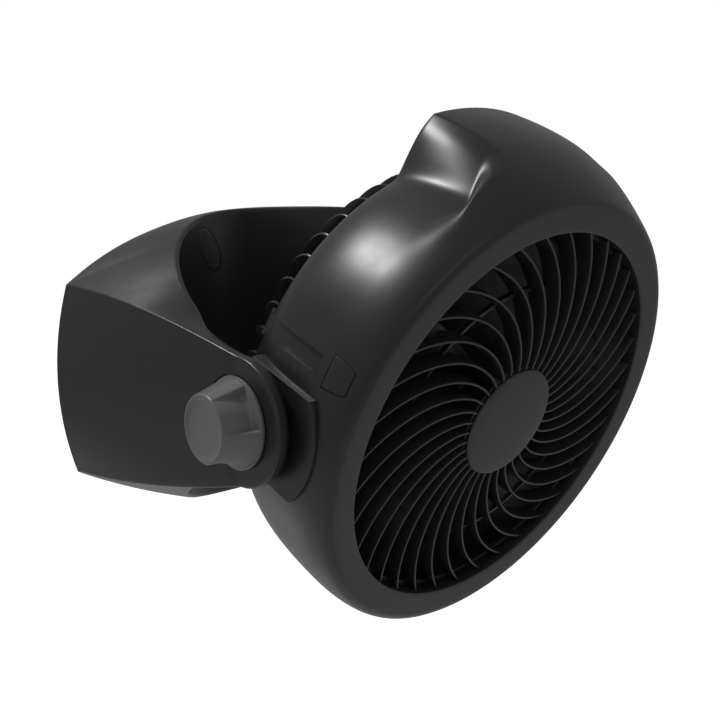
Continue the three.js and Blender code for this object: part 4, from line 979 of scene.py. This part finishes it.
def make_front_grille(repeat):
    radii = np.concatenate([np.linspace(HUB + 0.3, 44, 5), np.linspace(48, OPENING - 0.12, 26)])
    path = head_point(radii, rib_turn(radii), RIB_FRONT)
    into = np.tile([0.0, 1.0, 0.0], (len(radii), 1))
    rib = mesh_piece("front_ribs", *bar(path, into, (1.7, 2.3), RIB_DEPTH, 0.8), angle=40.0)
    ribs = grown(rib, repeat, {"Copies": RIBS, "Finish": FINISH["body_plastic"]})
    hub = eased([(8, 43.6), (HUB + 0.9, 43.6), (HUB + 0.9, 53.2), (8, 53.2)], 0.6)
    inner, outer, rear, front = OPENING - 3, OPENING + 10, 45.7, GRILLE_RING_FRONT
    rim = eased([(inner, rear), (outer, rear), (outer, front), (inner, front)], 0.6)
    stay = eased([(82.2, 43.0), (84.4, 43.0), (84.4, 46.2), (82.2, 46.2)], 0.4)
    rings = [hoop(name, outline, 144) for name, outline in (("hub", hub), ("rim", rim), ("stay", stay))]
    whole = merged("front_guard", [ribs, *rings])
    place_in_head(whole)
    dress(whole, "head", ["front_grille"], "body_plastic")
    cap = turned_piece("hub_disc", [
        (0.01, 53.5), (HUB - 0.6, 53.5), (HUB - 0.1, 53.7), (HUB, 54.1), (HUB, 54.6), (HUB - 0.15, 54.95),
        (HUB - 0.6, 55.2), (HUB - 1.6, 55.36), (HUB * 0.7, 55.56), (HUB * 0.4, 55.7), (0.01, 55.75),
    ], 128)
    dress(cap, "head", ["hub_cap"], "body_plastic")


REAR_LINE = np.array([
    [131.4, -22.2], [132.2, -26.5], [132.6, -31.2], [130.8, -37.4], [126.6, -43.2], [118.8, -49.6],
    [108.6, -55.0], [96.0, -59.2], [82.6, -61.5], [72.0, -63.1], [64.0, -64.0], [56.0, -64.4], [49.2, -64.5],
])


def make_rear_grille(repeat):
    run = np.concatenate([[0.0], np.cumsum(np.hypot(*np.diff(REAR_LINE, axis=0).T))])
    places = np.linspace(0, run[-1], 34)
    radius, ahead = np.interp(places, run, REAR_LINE[:, 0]), np.interp(places, run, REAR_LINE[:, 1])
    for _ in range(3):
        for line in (radius, ahead):
            line[1:-1] = (line[:-2] + 2 * line[1:-1] + line[2:]) / 4
    angle = -34.0 * (np.maximum(132.8 - radius, 0.0) / 131.4) ** 0.8
    path = head_point(radius, angle, ahead)
    dr, ds = np.gradient(radius), np.gradient(ahead)
    size = np.hypot(dr, ds)
    turn = np.radians(angle)
    into = np.stack([ds / size * np.sin(turn), dr / size, ds / size * np.cos(turn)], axis=-1)
    rib = mesh_piece("rear_ribs", *bar(path, into, (1.8, 2.1), 6.5, 0.8), angle=40.0)
    ribs = grown(rib, repeat, {"Copies": REAR_RIBS, "Finish": FINISH["body_plastic"]})
    rim = eased([(116.6, -22.0), (131.6, -22.0), (131.6, REAR_RING_FRONT), (116.6, REAR_RING_FRONT)], 0.6)
    inside, floor = CUP - 3, CUP_REAR + 3
    cup = [(3.3, CUP_REAR), (CUP, CUP_REAR, 3.0), (CUP, CUP_FRONT)]
    cup = eased(cup + [(inside, CUP_FRONT), (inside, floor, 2.0), (3.3, floor)], 0.5)
    rings = [hoop("rim", rim, 144), hoop("cup", cup, 144)]
    depth = (60.0, 76.0)
    tools = [round_tool(4.8, depth, (0.0, -GLAND_DROP), "y", 32)]
    for angle in MOTOR_SCREW_ANGLES:
        x, _, z = head_point(MOTOR_SCREW_RADIUS, angle, 0.0)
        tools.append(round_tool(1.8, depth, (x, z), "y", 24))
    carve(rings[1], tools)
    whole = merged("rear_guard", [ribs, *rings])
    place_in_head(whole)
    dress(whole, "head", ["rear_grille"], "body_plastic")


# ---------- impeller, motor and switch


def blade_skin():
    """One blade from root to tip: it narrows, flattens and sweeps round."""
    rings = []
    for t in np.linspace(0.0, 1.0, 26):
        radius = 28.0 + 83.0 * t
        chord = 40 + 34 * math.sin(math.pi * min(0.2 + 0.62 * t, 1) * 0.8)
        pitch = math.radians(38 - 17 * t)
        sweep = 16 * t * t
        half = 1.1 * (1 - 0.35 * t)
        # The tip's corners are rounded off over its last few millimetres.
        chord *= 1 - 0.3 * max(0.0, (t - 0.93) / 0.07) ** 2
        section = []
        for sign in (1, -1):
            for u in np.linspace(-sign, sign, 15):
                off = (1 - u * u) * chord * 0.07 + sign * half * math.sqrt(max(0.02, 1 - abs(u) ** 6))
                across = u * chord / 2 * math.cos(pitch) - off * math.sin(pitch) + sweep
                ahead = u * chord / 2 * math.sin(pitch) + off * math.cos(pitch)
                section.append(head_point(radius, math.degrees(across / radius), 18 + ahead))
        rings.append(section)
    return skin(rings)


def make_impeller(repeat):
    blade = mesh_piece("blades", *blade_skin(), angle=40.0)
    blades = grown(blade, repeat, {"Copies": 5, "Finish": FINISH["blade_plastic"]})
    outline = [(4.3, 9), (27, 9), (27, 6), (30, 6), (30, 28, 3), (28, 32, 2), (24, 34, 2), (4.3, 34)]
    whole = merged("impeller_blades", [blades, hoop("hub", eased(outline, 0.5))])
    place_in_head(whole)
    dress(whole, "impeller", ["impeller"], "blade_plastic")
    nut = turned_piece("spinner", [
        (0.01, 38.3), (4.15, 38.3), (4.15, 34.3), (13.0, 34.3), (13.0, 36.0), (12.7, 36.3), (9.6, 37.2),
        (9.0, 37.8), (8.4, 39.6), (7.4, 40.4), (5.0, 40.5), (0.01, 40.5),
    ], 64)
    dress(nut, "impeller", ["spinner_nut"], "blade_plastic")


def speed_knob_skin():
    """A round dial with a raised grip bar across it."""
    angles = np.arange(96) * 360.0 / 96
    line = [
        (0.01, -77.3), (3.08, -77.3), (3.08, -68.3), (17.0, -68.3), (17.0, -69.4), (16.6, -74.0),
        (15.9, -76.4), (15.0, -77.2), (14.2, -77.3),
    ]
    off = np.radians(angles)
    half_wide, half_long = 3.25, 14.5
    along = 1.0 / np.sqrt((np.sin(off) / half_wide) ** 4 + (np.cos(off) / half_long) ** 4) ** 0.5
    grip = ((1.0, -77.3), (0.3, -77.8), (0.0, -78.6), (0.0, -80.4), (-0.25, -80.9), (-0.7, -81.2))
    line += [(along + grow, ahead) for grow, ahead in grip] + [(0.01, -81.3)]
    return skin([head_point(radius, angles, ahead) for radius, ahead in line], caps=False)


def make_small_parts():
    knob = mesh_piece("speed_dial", *speed_knob_skin(), angle=35.0)
    place_in_head(knob)
    dress(knob, "speed_knob", ["speed_knob"], "inner_plastic")
    for cad, name, end, way, mouth in (
        ("motor_rear_cover", "motor_cap_rear", MOTOR_REAR, 1.0, -37.3),
        ("motor_front_cover", "motor_cap_front", -3.0, -1.0, -18.7),
    ):
        inner, well = end + 2 * way, end + 8 * way
        outline = eased([
            (5.5, end), (33, end, 3), (41, well, 4), (41, mouth), (39, mouth), (39, end + 8.8 * way, 3),
            (32.5, inner, 2), (11.65, inner), (11.65, well), (9.15, well), (9.15, inner), (5.5, inner),
        ], 0.4)
        dress(turned_piece(name, outline), "head", [cad], "cast_alloy")
    stack = turned_piece("stator_stack", eased([(20.6, -37), (42, -37), (42, -19), (20.6, -19)], 0.4))
    dress(stack, "head", ["stator_core"], "stack_steel")
    bush = eased([
        (2.8, -74.3), (5.1, -74.3), (6.3, -68.3), (4.5, -68.3), (4.5, -64.7), (6.0, -64.7), (6.0, -62.9),
        (2.8, -62.9),
    ], 0.4)
    points, faces = skin(turned(bush, 40), loop=True)
    gland = mesh_piece("cord_bush", from_head(points - (0.0, 0.0, GLAND_DROP)), faces)
    dress(gland, "head", ["cord_gland"], "rubber")


def make_wall_plate():
    plate = mesh_piece("back_plate", *block(plate_outline(5.3), -2.5, 0.0, "y"), angle=30.0)
    through, outside = -6.0, 3.0
    tools = []
    for place in PLATE_SCREWS:
        tools.append(round_tool(1.8, (through, outside), place, "y", 24))
        tools.append(round_tool(3.7, (-1.9, outside), place, "y", 32))
    for side, _ in SIDES:
        tools.append(round_tool(2.8, (through, outside), (side * PLUG_X, PLUG_Z), "y", 32))
    # Three shallow grooves cross the plate's face.
    for z in (-70.0, 0.0, 70.0):
        groove = [(-60, z - 0.8), (60, z - 0.8), (60, z + 0.8), (-60, z + 0.8)]
        tools.append(block(groove, -0.5, outside, "y"))
    carve(plate, tools)
    dress(plate, "base", ["wall_plate"], "inner_plastic")


def coat_solids():
    """The solids that stay as they are take their finish here."""
    kept = {
        "zinc_steel": ["lock_stud_right", "lock_stud_left", "bearing_front", "bearing_rear", "motor_shaft"],
        "brass": ["lock_nut_right", "lock_nut_left"],
        "copper": ["winding_front", "winding_rear"],
        "stack_steel": ["rotor_core"],
        "inner_plastic": ["speed_switch", "run_capacitor"],
    }
    for slot, names in kept.items():
        for name in names:
            coat(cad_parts[name], slot)


# ---------- floor, light and camera


def pale(name, colour, rough):
    """A pale backdrop that the camera sees as white, and that still takes the shadow."""
    material, tree = new_material(name)
    shader = result(tree, "ShaderNodeBsdfPrincipled", {"Base Color": colour, "Roughness": rough})
    # Only the camera sees this glow, which lifts the lit floor to white and leaves its shadow darker.
    path = node(tree, "ShaderNodeLightPath").outputs
    strength = maths(tree, "MULTIPLY", path["Is Camera Ray"], 0.78)
    glow = result(tree, "ShaderNodeEmission", {"Color": grey(1.0), "Strength": strength})
    both = result(tree, "ShaderNodeAddShader", {0: shader, 1: glow})
    node(tree, "ShaderNodeOutputMaterial", {"Surface": both})
    return material


def make_stage():
    size, level = 12000.0, -1250.0
    corners = [(-size, -size, level), (size, -size, level), (size, size, level), (-size, size, level)]
    floor = points_piece("floor", corners, [(0, 1, 2, 3)])
    floor.data.materials.append(pale("pale_floor", linear("#f4f4f4"), 0.8))
    world = bpy.data.worlds.new("studio")
    scene.world = world
    world.use_nodes = True
    tree = world.node_tree
    tree.nodes.clear()
    path = node(tree, "ShaderNodeLightPath").outputs
    seen = maths(tree, "MAXIMUM", path["Is Camera Ray"], path["Is Transmission Ray"])
    # The part is lit by a weaker white than the camera sees.
    inputs = {0: seen}
    for place, strength in ((1, 0.31), (2, 1.0)):
        inputs[place] = result(tree, "ShaderNodeBackground", {"Color": grey(1.0), "Strength": strength})
    mixed = result(tree, "ShaderNodeMixShader", inputs)
    node(tree, "ShaderNodeOutputWorld", {"Surface": mixed})


def lamp(name, place, size, power):
    """A round soft light turned to the fan."""
    light = bpy.data.lights.new(name, "AREA")
    light.shape = "DISK"
    light.size = size
    light.energy = power
    made = linked(name, light)
    made.location = place
    made.rotation_euler = (Vector((0, -0.15, 0)) - Vector(place)).to_track_quat("-Z", "Y").to_euler()


def make_light_and_camera():
    lamp("key", (-0.91, 0.98, 2.13), 0.5, 30)
    lamp("low", (-0.32, 0.79, -0.73), 0.4, 0.12)
    lamp("fill", (-0.5, -2.0, 0.9), 1.4, 1.5)
    data = bpy.data.cameras.new("photo_view")
    data.lens = 43.3
    data.sensor_width = 36.0
    data.sensor_fit = "HORIZONTAL"
    data.clip_start = 0.01
    camera = linked("photo_view", data)
    camera.location = (-0.3994, -0.5224, 0.1143)
    camera.rotation_euler = Vector((0.6570, 0.7308, -0.1851)).to_track_quat("-Z", "Y").to_euler()
    scene.camera = camera
    scene.view_settings.view_transform = "Standard"


# ---------- assembly

repeat = round_repeat_tree()
make_base()
make_wall_plate()
make_knobs()
make_housing()
make_front_grille(repeat)
make_rear_grille(repeat)
make_impeller(repeat)
make_small_parts()
make_screws()
coat_solids()
make_stage()
make_light_and_camera()
